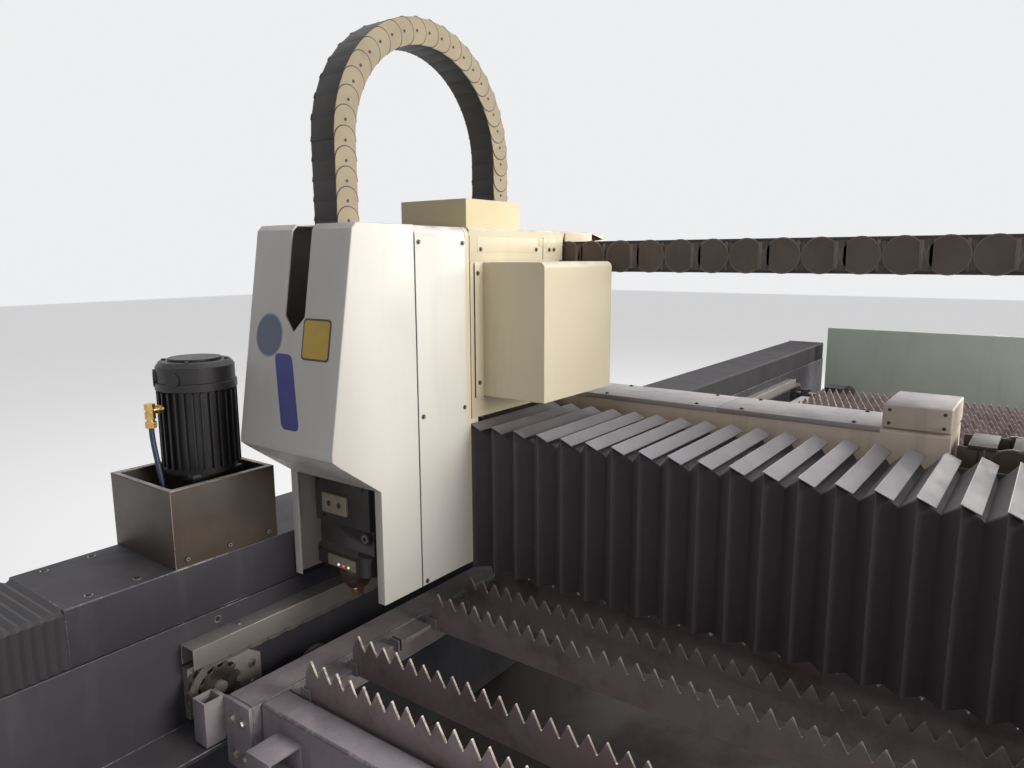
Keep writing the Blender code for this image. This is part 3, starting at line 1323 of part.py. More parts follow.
def chain_tab(bm):
    block(bm, (Y_CHAIN_FRONT_X, Y_CHAIN_REAR_X), (COVER_NEAR_Y - 0.0035, COVER_NEAR_Y + OVERLAP),
          (Y_CHAIN_TOP_Z - Y_CHAIN_HEIGHT / 2, COVER_TOP - 0.004))


join(top_arm, arm_strip, chain_tab)

# Chain box on the arm, with the well that the arch's right leg stands in
bm = bmesh.new()
block(bm, (CHAIN_BOX_FRONT_X, CHAIN_BOX_REAR_X), (CHAIN_BOX_NEAR_Y, COVER_FAR_Y),
      (COVER_TOP + GAP, CHAIN_BOX_TOP))
chain_box = node("chain_box", bm, "duct paint")
cut(chain_box, lambda bm: block(
    bm, (ARCH_RIGHT_X - ARCH_DEPTH / 2 - GAP, ARCH_RIGHT_X + ARCH_DEPTH / 2 + GAP),
    (ARCH_SIDES_Y[0] - GAP, ARCH_SIDES_Y[1] + GAP), (COVER_TOP + SHEET, CHAIN_BOX_TOP + SHEET)))


# Side box: a deep drawn cover over the Y motor, with a screwed flange

def box_outline(inset):
    """Rounded rectangle seen along Z, open towards the carriage."""
    r = SIDE_BOX_RADIUS - inset
    front, rear, near = SIDE_BOX_FRONT_X + inset, SIDE_BOX_REAR_X - inset, SIDE_BOX_NEAR_Y + inset
    far = COVER_NEAR_Y - GAP
    return (
        [(front, far)] + arc((front + r, near + r), r, 180, 270, 4)
        + arc((rear - r, near + r), r, 270, 360, 4) + [(rear, far)]
    )


bm = bmesh.new()
prism(bm, box_outline(0.0), "Z", (SIDE_BOX_BOTTOM, SIDE_BOX_TOP))
side_box = node("side_box", bm, "cover paint")


def side_box_inside(bm):
    outline = box_outline(SHEET)
    outline[0] = (outline[0][0], COVER_NEAR_Y + 0.02)
    outline[-1] = (outline[-1][0], COVER_NEAR_Y + 0.02)
    prism(bm, outline, "Z", (SIDE_BOX_BOTTOM + SHEET, SIDE_BOX_TOP - SHEET))


def side_flange(bm):
    far = COVER_NEAR_Y - GAP
    block(bm, (SIDE_FLANGE_FRONT_X, SIDE_BOX_FRONT_X + OVERLAP), (far - SHEET, far),
          (SIDE_BOX_BOTTOM, SIDE_BOX_TOP))


cut(side_box, side_box_inside)
join(side_box, side_flange)


# Carriage plate: the casting that runs on the gantry's rails, with shelf, cheeks, runners and Z rails

PLATE_BACK_X = PLATE_FRONT_X + PLATE_THICKNESS
INSIDE_NEAR = COVER_NEAR_Y + COVER_WALL + GAP
INSIDE_FAR = COVER_FAR_Y - COVER_WALL - GAP

bm = bmesh.new()
block(bm, (PLATE_FRONT_X, PLATE_BACK_X), (INSIDE_NEAR, INSIDE_FAR), (PLATE_BOTTOM, ARM_BOTTOM - GAP))
carriage_plate = node("carriage_plate", bm, "bare steel")


def plate_shelf(bm):
    block(bm, (PLATE_BACK_X - OVERLAP, SIDE_BOX_REAR_X + 0.03), (COVER_NEAR_Y, COVER_FAR_Y),
          (SHELF_BOTTOM, SHELF_TOP))


def plate_cheeks(bm):
    for y in ((COVER_NEAR_Y, COVER_NEAR_Y + CHEEK), (COVER_FAR_Y - CHEEK, COVER_FAR_Y)):
        block(bm, (PLATE_FRONT_X + 0.001, SIDE_BOX_REAR_X + 0.03), y, (SHELF_BOTTOM, ARM_BOTTOM - GAP))


def plate_runners(bm):
    half = RAIL_WIDTH / 2 + RUNNING
    for z in (Y_RAIL_LOW_Z, Y_RAIL_HIGH_Z):
        for y in (INSIDE_NEAR + PLATE_RUNNER_INSET, INSIDE_FAR - PLATE_RUNNER_INSET):
            for low, high in ((z - half - RUNNER_WALL, z - half), (z + half, z + half + RUNNER_WALL)):
                block(bm, (PLATE_BACK_X - OVERLAP, GANTRY_FRONT_X - RUNNER_CLEAR),
                      (y - PLATE_RUNNER_LENGTH / 2, y + PLATE_RUNNER_LENGTH / 2), (low, high))


def z_rails(bm):
    for side in (-1, 1):
        y = COVER_MIDDLE_Y + side * Z_RAIL_SPACING / 2
        block(bm, (PLATE_FRONT_X - Z_RAIL_DEPTH, PLATE_FRONT_X + OVERLAP),
              (y - Z_RAIL_WIDTH / 2, y + Z_RAIL_WIDTH / 2),
              (PLATE_BOTTOM + 0.02, ARM_BOTTOM - 0.06))


def motor_hole(bm):
    rod(bm, (Y_PINION_X, COVER_NEAR_Y, Y_MOTOR_Z), "Y", Y_MOTOR_RADIUS + GAP, 0.05, 24)


def pinion_hole(bm):
    rod(bm, (Y_PINION_X, COVER_MIDDLE_Y, SHELF_TOP), "Z", Y_PINION_RADIUS * 0.5, 0.2, 16)


join(carriage_plate, plate_shelf, plate_cheeks, plate_runners, z_rails)
cut(carriage_plate, motor_hole, pinion_hole)

# Y gear motor: the gearbox stands on the shelf and the motor lies in the side box
bm = bmesh.new()
block(bm, (Y_PINION_X - 0.06, Y_PINION_X + 0.06), (COVER_NEAR_Y + CHEEK + 0.006, COVER_MIDDLE_Y + 0.05),
      (SHELF_TOP + GAP, Y_MOTOR_Z + Y_MOTOR_RADIUS + 0.01))
y_motor = node("y_gear_motor", bm, "motor black")
y_motor_far = COVER_NEAR_Y + CHEEK + 0.010
y_motor_length = y_motor_far - SIDE_BOX_NEAR_Y - 0.03
join(y_motor, lambda bm: rod(
    bm, (Y_PINION_X, y_motor_far - y_motor_length / 2, Y_MOTOR_Z), "Y", Y_MOTOR_RADIUS,
    y_motor_length, 24))

# Y pinion with its shaft up through the shelf
bm = bmesh.new()
teeth = gear_outline(
    (Y_PINION_X, COVER_MIDDLE_Y), Y_PINION_RADIUS, Y_PINION_RADIUS - PINION_TOOTH, PINION_TEETH)
prism(bm, teeth, "Z", (GANTRY_TOP + 0.003, GANTRY_TOP + RACK_HEIGHT - 0.006))
y_pinion = node("y_pinion", bm, "bare steel")
join(y_pinion, lambda bm: rod(
    bm, (Y_PINION_X, COVER_MIDDLE_Y, (GANTRY_TOP + 0.008 + SHELF_TOP) / 2), "Z", Y_PINION_RADIUS * 0.35,
    SHELF_TOP - GANTRY_TOP - 0.008, 16))


# Z slide: screw, motor, moving plate and cutting head

Z_SCREW_X = PLATE_FRONT_X - Z_SCREW_RADIUS - 0.002

bm = bmesh.new()
screw_middle = (Z_SCREW_BOTTOM + Z_SCREW_TOP) / 2
rod(bm, (Z_SCREW_X, COVER_MIDDLE_Y, screw_middle), "Z", Z_SCREW_RADIUS, Z_SCREW_TOP - Z_SCREW_BOTTOM, 16)
node("z_ball_screw", bm, "bare steel")

bm = bmesh.new()
half = Z_MOTOR_SIDE / 2
block(bm, (PLATE_FRONT_X - Z_MOTOR_SIDE, PLATE_FRONT_X - GAP), (COVER_MIDDLE_Y - half, COVER_MIDDLE_Y + half),
      (Z_SCREW_TOP + GAP, Z_MOTOR_TOP - Z_MOTOR_CAP))
z_motor = node("z_motor", bm, "motor black")
join(z_motor, lambda bm: rod(
    bm, (PLATE_FRONT_X - half - GAP, COVER_MIDDLE_Y, Z_MOTOR_TOP - Z_MOTOR_CAP), "Z", 0.8 * half,
    2 * Z_MOTOR_CAP, 20))

Z_PLATE_BACK_X = PLATE_FRONT_X - Z_RAIL_DEPTH - RUNNING
Z_PLATE_FRONT_X = Z_PLATE_BACK_X - Z_PLATE_THICKNESS


Z_RAIL_SIDE = Z_RAIL_WIDTH / 2 + RUNNING
Z_RUNNER_WALL = 0.012
Z_RUNNER_LENGTH = 0.080
Z_PLATE_HALF_WIDTH = 0.120
nut_middle = (Z_PLATE_BOTTOM + Z_PLATE_TOP) / 2 - 0.02


def z_runners(bm):
    for side in (-1, 1):
        middle = COVER_MIDDLE_Y + side * Z_RAIL_SPACING / 2
        for near in (middle - Z_RAIL_SIDE - Z_RUNNER_WALL, middle + Z_RAIL_SIDE):
            for z in (Z_PLATE_BOTTOM + 0.03, Z_PLATE_TOP - Z_RUNNER_LENGTH - 0.03):
                block(bm, (Z_PLATE_BACK_X - OVERLAP, PLATE_FRONT_X - RUNNER_CLEAR),
                      (near, near + Z_RUNNER_WALL), (z, z + Z_RUNNER_LENGTH))


bm = bmesh.new()
block(bm, (Z_PLATE_FRONT_X, Z_PLATE_BACK_X),
      (COVER_MIDDLE_Y - Z_PLATE_HALF_WIDTH, COVER_MIDDLE_Y + Z_PLATE_HALF_WIDTH),
      (Z_PLATE_BOTTOM, Z_PLATE_TOP))
z_plate = node("z_plate", bm, "bare steel")
join(z_plate, z_runners, lambda bm: block(
    bm, (Z_PLATE_BACK_X - OVERLAP, PLATE_FRONT_X - 2 * RUNNING),
    (COVER_MIDDLE_Y - Z_NUT_WIDTH / 2, COVER_MIDDLE_Y + Z_NUT_WIDTH / 2),
    (nut_middle - Z_NUT_HEIGHT / 2, nut_middle + Z_NUT_HEIGHT / 2)))
cut(z_plate, lambda bm: rod(
    bm, (Z_SCREW_X, COVER_MIDDLE_Y, screw_middle), "Z", Z_SCREW_RADIUS + GAP,
    Z_SCREW_TOP - Z_SCREW_BOTTOM + 0.1, 16))

# Cutting head: stepped housing with a lamp ledge, an upper fibre connector and a round clamp boss
bm = bmesh.new()
near, far = COVER_MIDDLE_Y - HEAD_HALF_WIDTH, COVER_MIDDLE_Y + HEAD_HALF_WIDTH
head_back = Z_PLATE_FRONT_X - GAP
block_top = HEAD_TOP - 0.05
prism(bm, [
    (head_back, block_top), (head_back, HEAD_BOTTOM + 0.145), (head_back - 0.06, HEAD_BOTTOM + 0.125),
    (HEAD_X + 0.055, HEAD_BOTTOM + 0.105), (HEAD_X + 0.055, HEAD_BOTTOM), (HEAD_FRONT_X, HEAD_BOTTOM),
    (HEAD_FRONT_X, HEAD_RECESS_Z[0] - HEAD_RECESS), (HEAD_FRONT_X + HEAD_RECESS, HEAD_RECESS_Z[0]),
    (HEAD_FRONT_X + HEAD_RECESS, HEAD_RECESS_Z[1]), (HEAD_FRONT_X, HEAD_RECESS_Z[1]),
    (HEAD_FRONT_X, block_top - 0.09), (HEAD_FRONT_X + 0.03, block_top - 0.05),
    (HEAD_FRONT_X + 0.03, block_top),
], "Y", (near, far))
head_housing = node("head_housing", bm, "head charcoal")
join(head_housing,
     lambda bm: rod(bm, (HEAD_X, COVER_MIDDLE_Y, HEAD_TOP - 0.04), "Z", 0.028, 0.08, 20),
     lambda bm: rod(
         bm, (HEAD_FRONT_X + HEAD_RECESS - CLAMP_BOSS_LENGTH / 2 + OVERLAP, near + 1.2 * CLAMP_BOSS_RADIUS,
              HEAD_RECESS_Z[1] - 1.3 * CLAMP_BOSS_RADIUS), "X", CLAMP_BOSS_RADIUS, CLAMP_BOSS_LENGTH, 16))

# Lens drawer on the housing's front, with its two finger holes
DRAWER_Y = (COVER_MIDDLE_Y - 0.0235, COVER_MIDDLE_Y + 0.0625)
DRAWER_Z = (HEAD_RECESS_Z[1] + 0.026, HEAD_RECESS_Z[1] + 0.073)
bm = bmesh.new()
block(bm, (HEAD_FRONT_X - GAP - 0.007, HEAD_FRONT_X - GAP), DRAWER_Y, DRAWER_Z)
lens_drawer = node("lens_drawer", bm, "drawer beige")


def drawer_holes(bm):
    width = DRAWER_Y[1] - DRAWER_Y[0]
    for share in (0.3, 0.7):
        rod(bm, (HEAD_FRONT_X - 0.009, DRAWER_Y[0] + share * width, sum(DRAWER_Z) / 2), "X", 0.006, 0.01, 12)


cut(lens_drawer, drawer_holes)

# Sensor skirt and nozzle, both turned
bm = bmesh.new()
turned(bm, [
    (0.0, -GAP), (SKIRT_RADIUS, -GAP), (SKIRT_RADIUS, -0.3 * SKIRT_HEIGHT),
    (SKIRT_RADIUS * 0.9, -0.43 * SKIRT_HEIGHT), (SKIRT_RADIUS * 0.9, -0.67 * SKIRT_HEIGHT),
    (SKIRT_RADIUS * 0.62, -SKIRT_HEIGHT), (0.0, -SKIRT_HEIGHT),
], Vector((HEAD_X, COVER_MIDDLE_Y, HEAD_BOTTOM)), 24)
node("sensor_skirt", bm, "skirt brown")

bm = bmesh.new()
nozzle_top = HEAD_BOTTOM - SKIRT_HEIGHT - GAP
turned(bm, [
    (0.0, 0.0), (NOZZLE_RADIUS * 1.25, 0.0), (NOZZLE_RADIUS * 1.25, -0.010),
    (NOZZLE_RADIUS, -0.012), (NOZZLE_RADIUS, -0.020),
    (NOZZLE_RADIUS * 0.3, NOZZLE_TIP_Z - nozzle_top), (0.0, NOZZLE_TIP_Z - nozzle_top),
], Vector((HEAD_X, COVER_MIDDLE_Y, nozzle_top)), 20)
node("nozzle", bm, "nozzle copper")


# Brass air fitting on the far motor and its short hose down to the saddle

FITTING_X = X_MOTOR_X - 0.1245
FITTING_Y = X_PINION_Y - 0.012
FITTING_Z = 1.300
FITTING_RADIUS = 0.013
FITTING_LENGTH = 0.055

bm = bmesh.new()
rod(bm, (FITTING_X, FITTING_Y, FITTING_Z), "Z", FITTING_RADIUS, FITTING_LENGTH, 12)
air_fitting = node("air_fitting", bm, "brass")
elbow = X_MOTOR_X - MOTOR_CAP_RADIUS - 0.001 - FITTING_X
join(air_fitting, lambda bm: rod(
    bm, (FITTING_X + elbow / 2, FITTING_Y, FITTING_Z + 0.012), "X", 0.7 * FITTING_RADIUS, elbow, 12))

HOSE_RADIUS = 0.006
HOSE_SEAT = 0.0007
hose_top = FITTING_Z - FITTING_LENGTH / 2 - HOSE_SEAT
hose_low = X_COVER_TOP + HOSE_SEAT
HOSE_POINTS = 12
curve = bpy.data.curves.new("air_hose", "CURVE")
curve.dimensions = "3D"
curve.bevel_depth = HOSE_RADIUS
curve.bevel_resolution = 2
curve.use_fill_caps = True
spline = curve.splines.new("POLY")
spline.points.add(HOSE_POINTS - 1)
for i in range(HOSE_POINTS):
    share = i / (HOSE_POINTS - 1)
    sway = math.sin(math.pi * share) ** 2
    place = (FITTING_X + 0.004 * sway, FITTING_Y - 0.020 * sway, hose_top + (hose_low - hose_top) * share)
    spline.points[i].co = (*place, 1.0)
hose = bpy.data.objects.new("air_hose", curve)
curve.materials.append(material("air_hose hose blue", *FINISHES["hose blue"]))
bpy.context.collection.objects.link(hose)
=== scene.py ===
import math
import random

import bmesh
import bpy
from mathutils import Matrix, Vector


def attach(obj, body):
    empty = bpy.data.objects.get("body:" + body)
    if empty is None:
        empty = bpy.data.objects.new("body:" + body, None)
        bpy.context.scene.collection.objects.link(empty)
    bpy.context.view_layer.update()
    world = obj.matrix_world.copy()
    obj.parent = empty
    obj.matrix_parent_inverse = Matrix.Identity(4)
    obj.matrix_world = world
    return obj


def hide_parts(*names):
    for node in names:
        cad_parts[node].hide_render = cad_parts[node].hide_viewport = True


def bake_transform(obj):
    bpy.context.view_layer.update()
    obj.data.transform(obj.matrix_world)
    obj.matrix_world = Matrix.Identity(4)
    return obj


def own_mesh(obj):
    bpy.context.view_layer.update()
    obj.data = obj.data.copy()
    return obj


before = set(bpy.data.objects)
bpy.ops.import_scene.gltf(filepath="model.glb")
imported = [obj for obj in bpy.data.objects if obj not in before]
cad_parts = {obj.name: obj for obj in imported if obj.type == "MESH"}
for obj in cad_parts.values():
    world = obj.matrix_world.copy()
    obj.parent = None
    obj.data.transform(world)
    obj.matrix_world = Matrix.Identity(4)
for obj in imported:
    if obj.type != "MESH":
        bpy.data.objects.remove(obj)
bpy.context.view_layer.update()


# The photograph's viewpoint: a phone held a little over a metre and a half up, just ahead of the
# bed's front end and left of its middle, looking back over the slats at the cutting carriage.
CAMERA_PLACE = Vector((-3.2, -0.2, 1.65))
CAMERA_YAW = math.radians(36.441)
CAMERA_DOWN = math.radians(9.622)
CAMERA_ROLL = math.radians(0.247)
FOCAL_PIXELS = 750.338
IMAGE_WIDTH = 1024
SENSOR_WIDTH = 36.0

camera_data = bpy.data.cameras.new("camera")
camera_data.sensor_width = SENSOR_WIDTH
camera_data.lens = FOCAL_PIXELS / IMAGE_WIDTH * SENSOR_WIDTH
camera_data.clip_start = 0.02
camera = bpy.data.objects.new("camera", camera_data)
bpy.context.scene.collection.objects.link(camera)
forward = Vector((
    math.cos(CAMERA_YAW) * math.cos(CAMERA_DOWN),
    math.sin(CAMERA_YAW) * math.cos(CAMERA_DOWN),
    -math.sin(CAMERA_DOWN),
))
level_right = forward.cross(Vector((0, 0, 1))).normalized()
right = Matrix.Rotation(CAMERA_ROLL, 3, forward) @ level_right
up = right.cross(forward)
looking = Matrix((right, up, -forward)).transposed().to_4x4()
camera.matrix_world = Matrix.Translation(CAMERA_PLACE) @ looking
bpy.context.scene.camera = camera


# The hall's light, made plain: one wide warm window on the near side, a weaker one from above and
# behind, and a pale floor. What faces the bed's front end gets little light, as in the photograph.
FLOOR_SIZE = 60.0
ROOM_STRENGTH = 0.19
BACKDROP_STRENGTH = 0.92
FLOOR_GLOW = 0.46
LAMPS = (
    # name, place, aim, size, power, colour
    ("near_windows", (-0.6, -6.5, 3.2), (-0.9, 0.9, 1.1), 4.5, 640, (1.0, 0.965, 0.90)),
    ("roof_light", (0.5, 1.2, 6.0), (-1.0, 0.6, 1.0), 4.0, 230, (0.97, 0.97, 1.0)),
    ("far_end_light", (6.5, -1.0, 3.4), (1.5, 0.4, 0.8), 3.0, 170, (1.0, 0.97, 0.90)),
    ("front_fill", (-6.5, -1.2, 2.2), (-1.8, 0.9, 1.0), 3.0, 9, (0.95, 0.96, 1.0)),
)


def math_node(tree, operation, a, b, clamp=False):
    """A Math node's output; each operand is a number or a socket."""
    made = tree.nodes.new("ShaderNodeMath")
    made.operation = operation
    made.use_clamp = clamp
    for i, value in enumerate((a, b)):
        if isinstance(value, (int, float)):
            made.inputs[i].default_value = value
        else:
            tree.links.new(value, made.inputs[i])
    return made.outputs[0]


def seen_mask(tree):
    """1 for what the camera sees, straight or in metal and glass, and 0 for light on the object."""
    path = tree.nodes.new("ShaderNodeLightPath")
    seen = path.outputs["Is Camera Ray"]
    for kind in ("Is Glossy Ray", "Is Transmission Ray"):
        seen = math_node(tree, "MAXIMUM", seen, path.outputs[kind])
    return seen


world = bpy.data.worlds.new("room")
bpy.context.scene.world = world
world.use_nodes = True
room = world.node_tree
backdrop = room.nodes["Background"]
backdrop.inputs["Color"].default_value = (0.93, 0.935, 0.945, 1.0)
backdrop.inputs["Strength"].default_value = BACKDROP_STRENGTH
ambient = room.nodes.new("ShaderNodeBackground")
ambient.inputs["Color"].default_value = (0.95, 0.95, 1.0, 1.0)
ambient.inputs["Strength"].default_value = ROOM_STRENGTH
seen_or_not = room.nodes.new("ShaderNodeMixShader")
room.links.new(seen_mask(room), seen_or_not.inputs["Fac"])
room.links.new(ambient.outputs[0], seen_or_not.inputs[1])
room.links.new(backdrop.outputs[0], seen_or_not.inputs[2])
room.links.new(seen_or_not.outputs[0], room.nodes["World Output"].inputs["Surface"])

for lamp_name, lamp_place, lamp_aim, lamp_size, lamp_power, lamp_color in LAMPS:
    lamp_data = bpy.data.lights.new(lamp_name, "AREA")
    lamp_data.shape = "DISK"
    lamp_data.size = lamp_size
    lamp_data.energy = lamp_power
    lamp_data.color = lamp_color
    lamp = bpy.data.objects.new(lamp_name, lamp_data)
    lamp.matrix_world = (
        Matrix.Translation(Vector(lamp_place))
        @ (Vector(lamp_aim) - Vector(lamp_place)).to_track_quat("-Z", "Y").to_matrix().to_4x4()
    )
    bpy.context.scene.collection.objects.link(lamp)

floor_mesh = bpy.data.meshes.new("floor")
floor_bm = bmesh.new()
bmesh.ops.create_grid(floor_bm, x_segments=1, y_segments=1, size=FLOOR_SIZE / 2)
floor_bm.to_mesh(floor_mesh)
floor_bm.free()
floor = bpy.data.objects.new("floor", floor_mesh)
bpy.context.scene.collection.objects.link(floor)
floor_paint = bpy.data.materials.new("floor")
floor_paint.use_nodes = True
floor_nodes = floor_paint.node_tree
floor_shader = floor_nodes.nodes["Principled BSDF"]
floor_shader.inputs["Base Color"].default_value = (0.66, 0.66, 0.65, 1.0)
floor_shader.inputs["Roughness"].default_value = 0.75
floor_shader.inputs["Emission Color"].default_value = (0.95, 0.95, 0.96, 1.0)
floor_glow = math_node(floor_nodes, "MULTIPLY", seen_mask(floor_nodes), FLOOR_GLOW)
floor_nodes.links.new(floor_glow, floor_shader.inputs["Emission Strength"])
floor_mesh.materials.append(floor_paint)
bpy.context.scene.view_settings.view_transform = "Standard"


# The bed: a welded plate frame with two long box beams, stress-relieved, machined on top and
# painted dark slate. Its rails, racks and feet are bolted or welded to it and never move.
BEAM_INNER_Y = 1.316
BEAM_TOP = 0.848
GROUND_HALF_LENGTH = 2.85       # the ground rails and racks end here; the beams' ends are painted
BEAM_SCREW_X = (-2.30, 0.60, 8)
BEAM_SCREW_Z = 0.826


def node_group(name, colors, numbers):
    """A shader group with named inputs that gives a colour, a roughness and a height: the group,
    its inputs' sockets, and a function that takes the three results."""
    group = bpy.data.node_groups.new(name, "ShaderNodeTree")
    for kind, labels in (("Color", colors), ("Float", numbers)):
        for label in labels:
            group.interface.new_socket(name=label, in_out="INPUT", socket_type="NodeSocket" + kind)
    for label, kind in (("Color", "Color"), ("Roughness", "Float"), ("Height", "Float")):
        group.interface.new_socket(name=label, in_out="OUTPUT", socket_type="NodeSocket" + kind)
    given = group.nodes.new("NodeGroupInput").outputs
    results = group.nodes.new("NodeGroupOutput").inputs

    def give(color, rough, height):
        for label, socket in (("Color", color), ("Roughness", rough), ("Height", height)):
            group.links.new(socket, results[label])

    return group, given, give


def mixed(tree, factor, a, b):
    """A colour mix of two sockets by a factor socket."""
    made = tree.nodes.new("ShaderNodeMix")
    made.data_type = "RGBA"
    tree.links.new(factor, made.inputs["Factor"])
    tree.links.new(a, made.inputs["A"])
    tree.links.new(b, made.inputs["B"])
    return made.outputs["Result"]


def noise_node(tree, vector, scale, detail=3.0, rough=0.55):
    """A noise texture's factor; scale is a number or a socket."""
    made = tree.nodes.new("ShaderNodeTexNoise")
    made.inputs["Detail"].default_value = detail
    made.inputs["Roughness"].default_value = rough
    tree.links.new(vector, made.inputs["Vector"])
    if isinstance(scale, (int, float)):
        made.inputs["Scale"].default_value = scale
    else:
        tree.links.new(scale, made.inputs["Scale"])
    return made.outputs["Fac"]


def spread_mask(tree, value, low, high):
    """A value stretched from low..high to 0..1."""
    made = tree.nodes.new("ShaderNodeMapRange")
    made.interpolation_type = "SMOOTHSTEP"
    made.inputs["From Min"].default_value = low
    made.inputs["From Max"].default_value = high
    tree.links.new(value, made.inputs["Value"])
    return made.outputs["Result"]


def split_axes(tree, vector):
    """A vector's parts, as sockets named X, Y and Z."""
    made = tree.nodes.new("ShaderNodeSeparateXYZ")
    tree.links.new(vector, made.inputs[0])
    return made.outputs


def coated_surface_group():
    """Sprayed paint or plastic: soft mottling, dirt that runs down, dust on what faces up."""
    group, given, give = node_group(
        "coated_surface", ("Color", "Shade", "Dust", "Grime"),
        ("Dust Amount", "Grime Amount", "Mottle Scale", "Skin Scale", "Base Roughness"))
    place = group.nodes.new("ShaderNodeTexCoord").outputs["Object"]
    mottle = spread_mask(group, noise_node(group, place, given["Mottle Scale"], 5.0), 0.35, 0.68)
    smear = spread_mask(group, noise_node(group, place, 11.0, 6.0, 0.65), 0.40, 0.75)
    drawn = group.nodes.new("ShaderNodeMapping")
    drawn.inputs["Scale"].default_value = (9.0, 9.0, 1.1)
    group.links.new(place, drawn.inputs["Vector"])
    runs = spread_mask(group, noise_node(group, drawn.outputs[0], 1.6, 5.0, 0.6), 0.50, 0.80)
    facing = split_axes(group, group.nodes.new("ShaderNodeNewGeometry").outputs["Normal"])
    lying = spread_mask(group, facing["Z"], 0.25, 0.95)
    dust = math_node(group, "MULTIPLY", lying, given["Dust Amount"])
    settled = math_node(group, "MULTIPLY", dust, math_node(group, "ADD", smear, 0.35), clamp=True)
    grimy = math_node(group, "MULTIPLY", runs, given["Grime Amount"], clamp=True)
    tone = mixed(group, mottle, given["Color"], given["Shade"])
    dirty = mixed(group, grimy, tone, given["Grime"])
    rough = math_node(
        group, "ADD", given["Base Roughness"], math_node(group, "MULTIPLY", smear, 0.10))
    give(mixed(group, settled, dirty, given["Dust"]),
         math_node(group, "ADD", rough, math_node(group, "MULTIPLY", settled, 0.25), clamp=True),
         noise_node(group, place, given["Skin Scale"], 1.0))
    return group


def chipped_edge_group():
    """Paint worn through along an edge: bare spots where a fine noise is high."""
    group, given, give = node_group(
        "chipped_edge", ("Color", "Bare"), ("Wear", "Chip Scale", "Base Roughness"))
    place = group.nodes.new("ShaderNodeTexCoord").outputs["Object"]
    chips = noise_node(group, place, given["Chip Scale"], 5.0, 0.7)
    runs = noise_node(group, place, 7.0, 3.0)
    worn = math_node(group, "ADD", math_node(group, "MULTIPLY", runs, 0.6),
                     math_node(group, "MULTIPLY", chips, 0.4))
    shown = spread_mask(group, math_node(group, "ADD", worn, given["Wear"]), 0.90, 1.06)
    give(mixed(group, shown, given["Color"], given["Bare"]),
         math_node(
             group, "SUBTRACT", given["Base Roughness"], math_node(group, "MULTIPLY", shown, 0.12)),
         math_node(group, "SUBTRACT", 1.0, shown))
    return group


STREAK_SCALE = 240.0
STREAK_LENGTH = 0.06            # how far a streak is squeezed along Y


def metal_surface_group():
    """Rolled, ground or turned metal: streaks along Y, darker oxide patches, and a fine bump from
    the streaks.
    """
    group, given, give = node_group(
        "metal_surface", ("Color", "Oxide"), ("Oxide Amount", "Patch Scale", "Base Roughness"))
    place = group.nodes.new("ShaderNodeTexCoord").outputs["Object"]
    split = split_axes(group, place)
    drawn = group.nodes.new("ShaderNodeCombineXYZ")
    for label in "XZ":
        group.links.new(split[label], drawn.inputs[label])
    group.links.new(math_node(group, "MULTIPLY", split["Y"], STREAK_LENGTH), drawn.inputs["Y"])
    streak = noise_node(group, drawn.outputs[0], STREAK_SCALE, 2.0)
    patch = spread_mask(
        group, noise_node(group, place, given["Patch Scale"], 6.0, 0.62), 0.42, 0.72)
    oxide = math_node(group, "MULTIPLY", patch, given["Oxide Amount"], clamp=True)
    rough = math_node(
        group, "ADD", given["Base Roughness"], math_node(group, "MULTIPLY", oxide, 0.3))
    give(mixed(group, oxide, given["Color"], given["Oxide"]),
         math_node(group, "ADD", rough, math_node(group, "MULTIPLY", streak, 0.08), clamp=True),
         streak)
    return group


coated_surface = coated_surface_group()
chipped_edge = chipped_edge_group()
metal_surface = metal_surface_group()
BUMP_HEIGHT = 0.0004


def finished(name, group, values, metallic=0.0):
    """A Principled material fed by one shader group, with its height as a fine bump."""
    mat = bpy.data.materials.new(name)
    mat.use_nodes = True
    tree = mat.node_tree
    shader = tree.nodes["Principled BSDF"]
    effect = tree.nodes.new("ShaderNodeGroup")
    effect.node_tree = group
    for label, value in values.items():
        effect.inputs[label].default_value = (*value, 1.0) if isinstance(value, tuple) else value
    tree.links.new(effect.outputs["Color"], shader.inputs["Base Color"])
    tree.links.new(effect.outputs["Roughness"], shader.inputs["Roughness"])
    bump_node = tree.nodes.new("ShaderNodeBump")
    bump_node.inputs["Distance"].default_value = BUMP_HEIGHT
    tree.links.new(effect.outputs["Height"], bump_node.inputs["Height"])
    tree.links.new(bump_node.outputs["Normal"], shader.inputs["Normal"])
    shader.inputs["Metallic"].default_value = metallic
    return mat


def painted(name, color, shade, rough, mottle, skin, dust, grime=((0.1, 0.09, 0.08), 0.0)):
    """Paint or plastic; dust and grime are each a colour and an amount."""
    return finished(name, coated_surface, {
        "Color": color, "Shade": shade, "Base Roughness": rough, "Mottle Scale": mottle,
        "Skin Scale": skin, "Dust": dust[0], "Dust Amount": dust[1], "Grime": grime[0],
        "Grime Amount": grime[1],
    })


def metal(name, color, oxide, rough, metallic, patches=9.0):
    """Bare metal; its oxide is a colour and an amount."""
    return finished(name, metal_surface, {
        "Color": color, "Oxide": oxide[0], "Oxide Amount": oxide[1], "Patch Scale": patches,
        "Base Roughness": rough,
    }, metallic)


def chipped(name, color, bare, wear, chips, rough):
    """The worn edge of a coat, with what shows through it."""
    return finished(name, chipped_edge, {
        "Color": color, "Bare": bare, "Wear": wear, "Chip Scale": chips, "Base Roughness": rough,
    })


def broken_edges(piece, width, segments=2, angle=32.0, worn=False):
    """A live bevel on the piece's sharp edges; worn gives the new faces the second material."""
    edges = piece.modifiers.new("broken_edges", "BEVEL")
    edges.width = width
    edges.segments = segments
    edges.limit_method = "ANGLE"
    edges.angle_limit = math.radians(angle)
    edges.harden_normals = True
    edges.use_clamp_overlap = True
    if worn:
        edges.material = 1


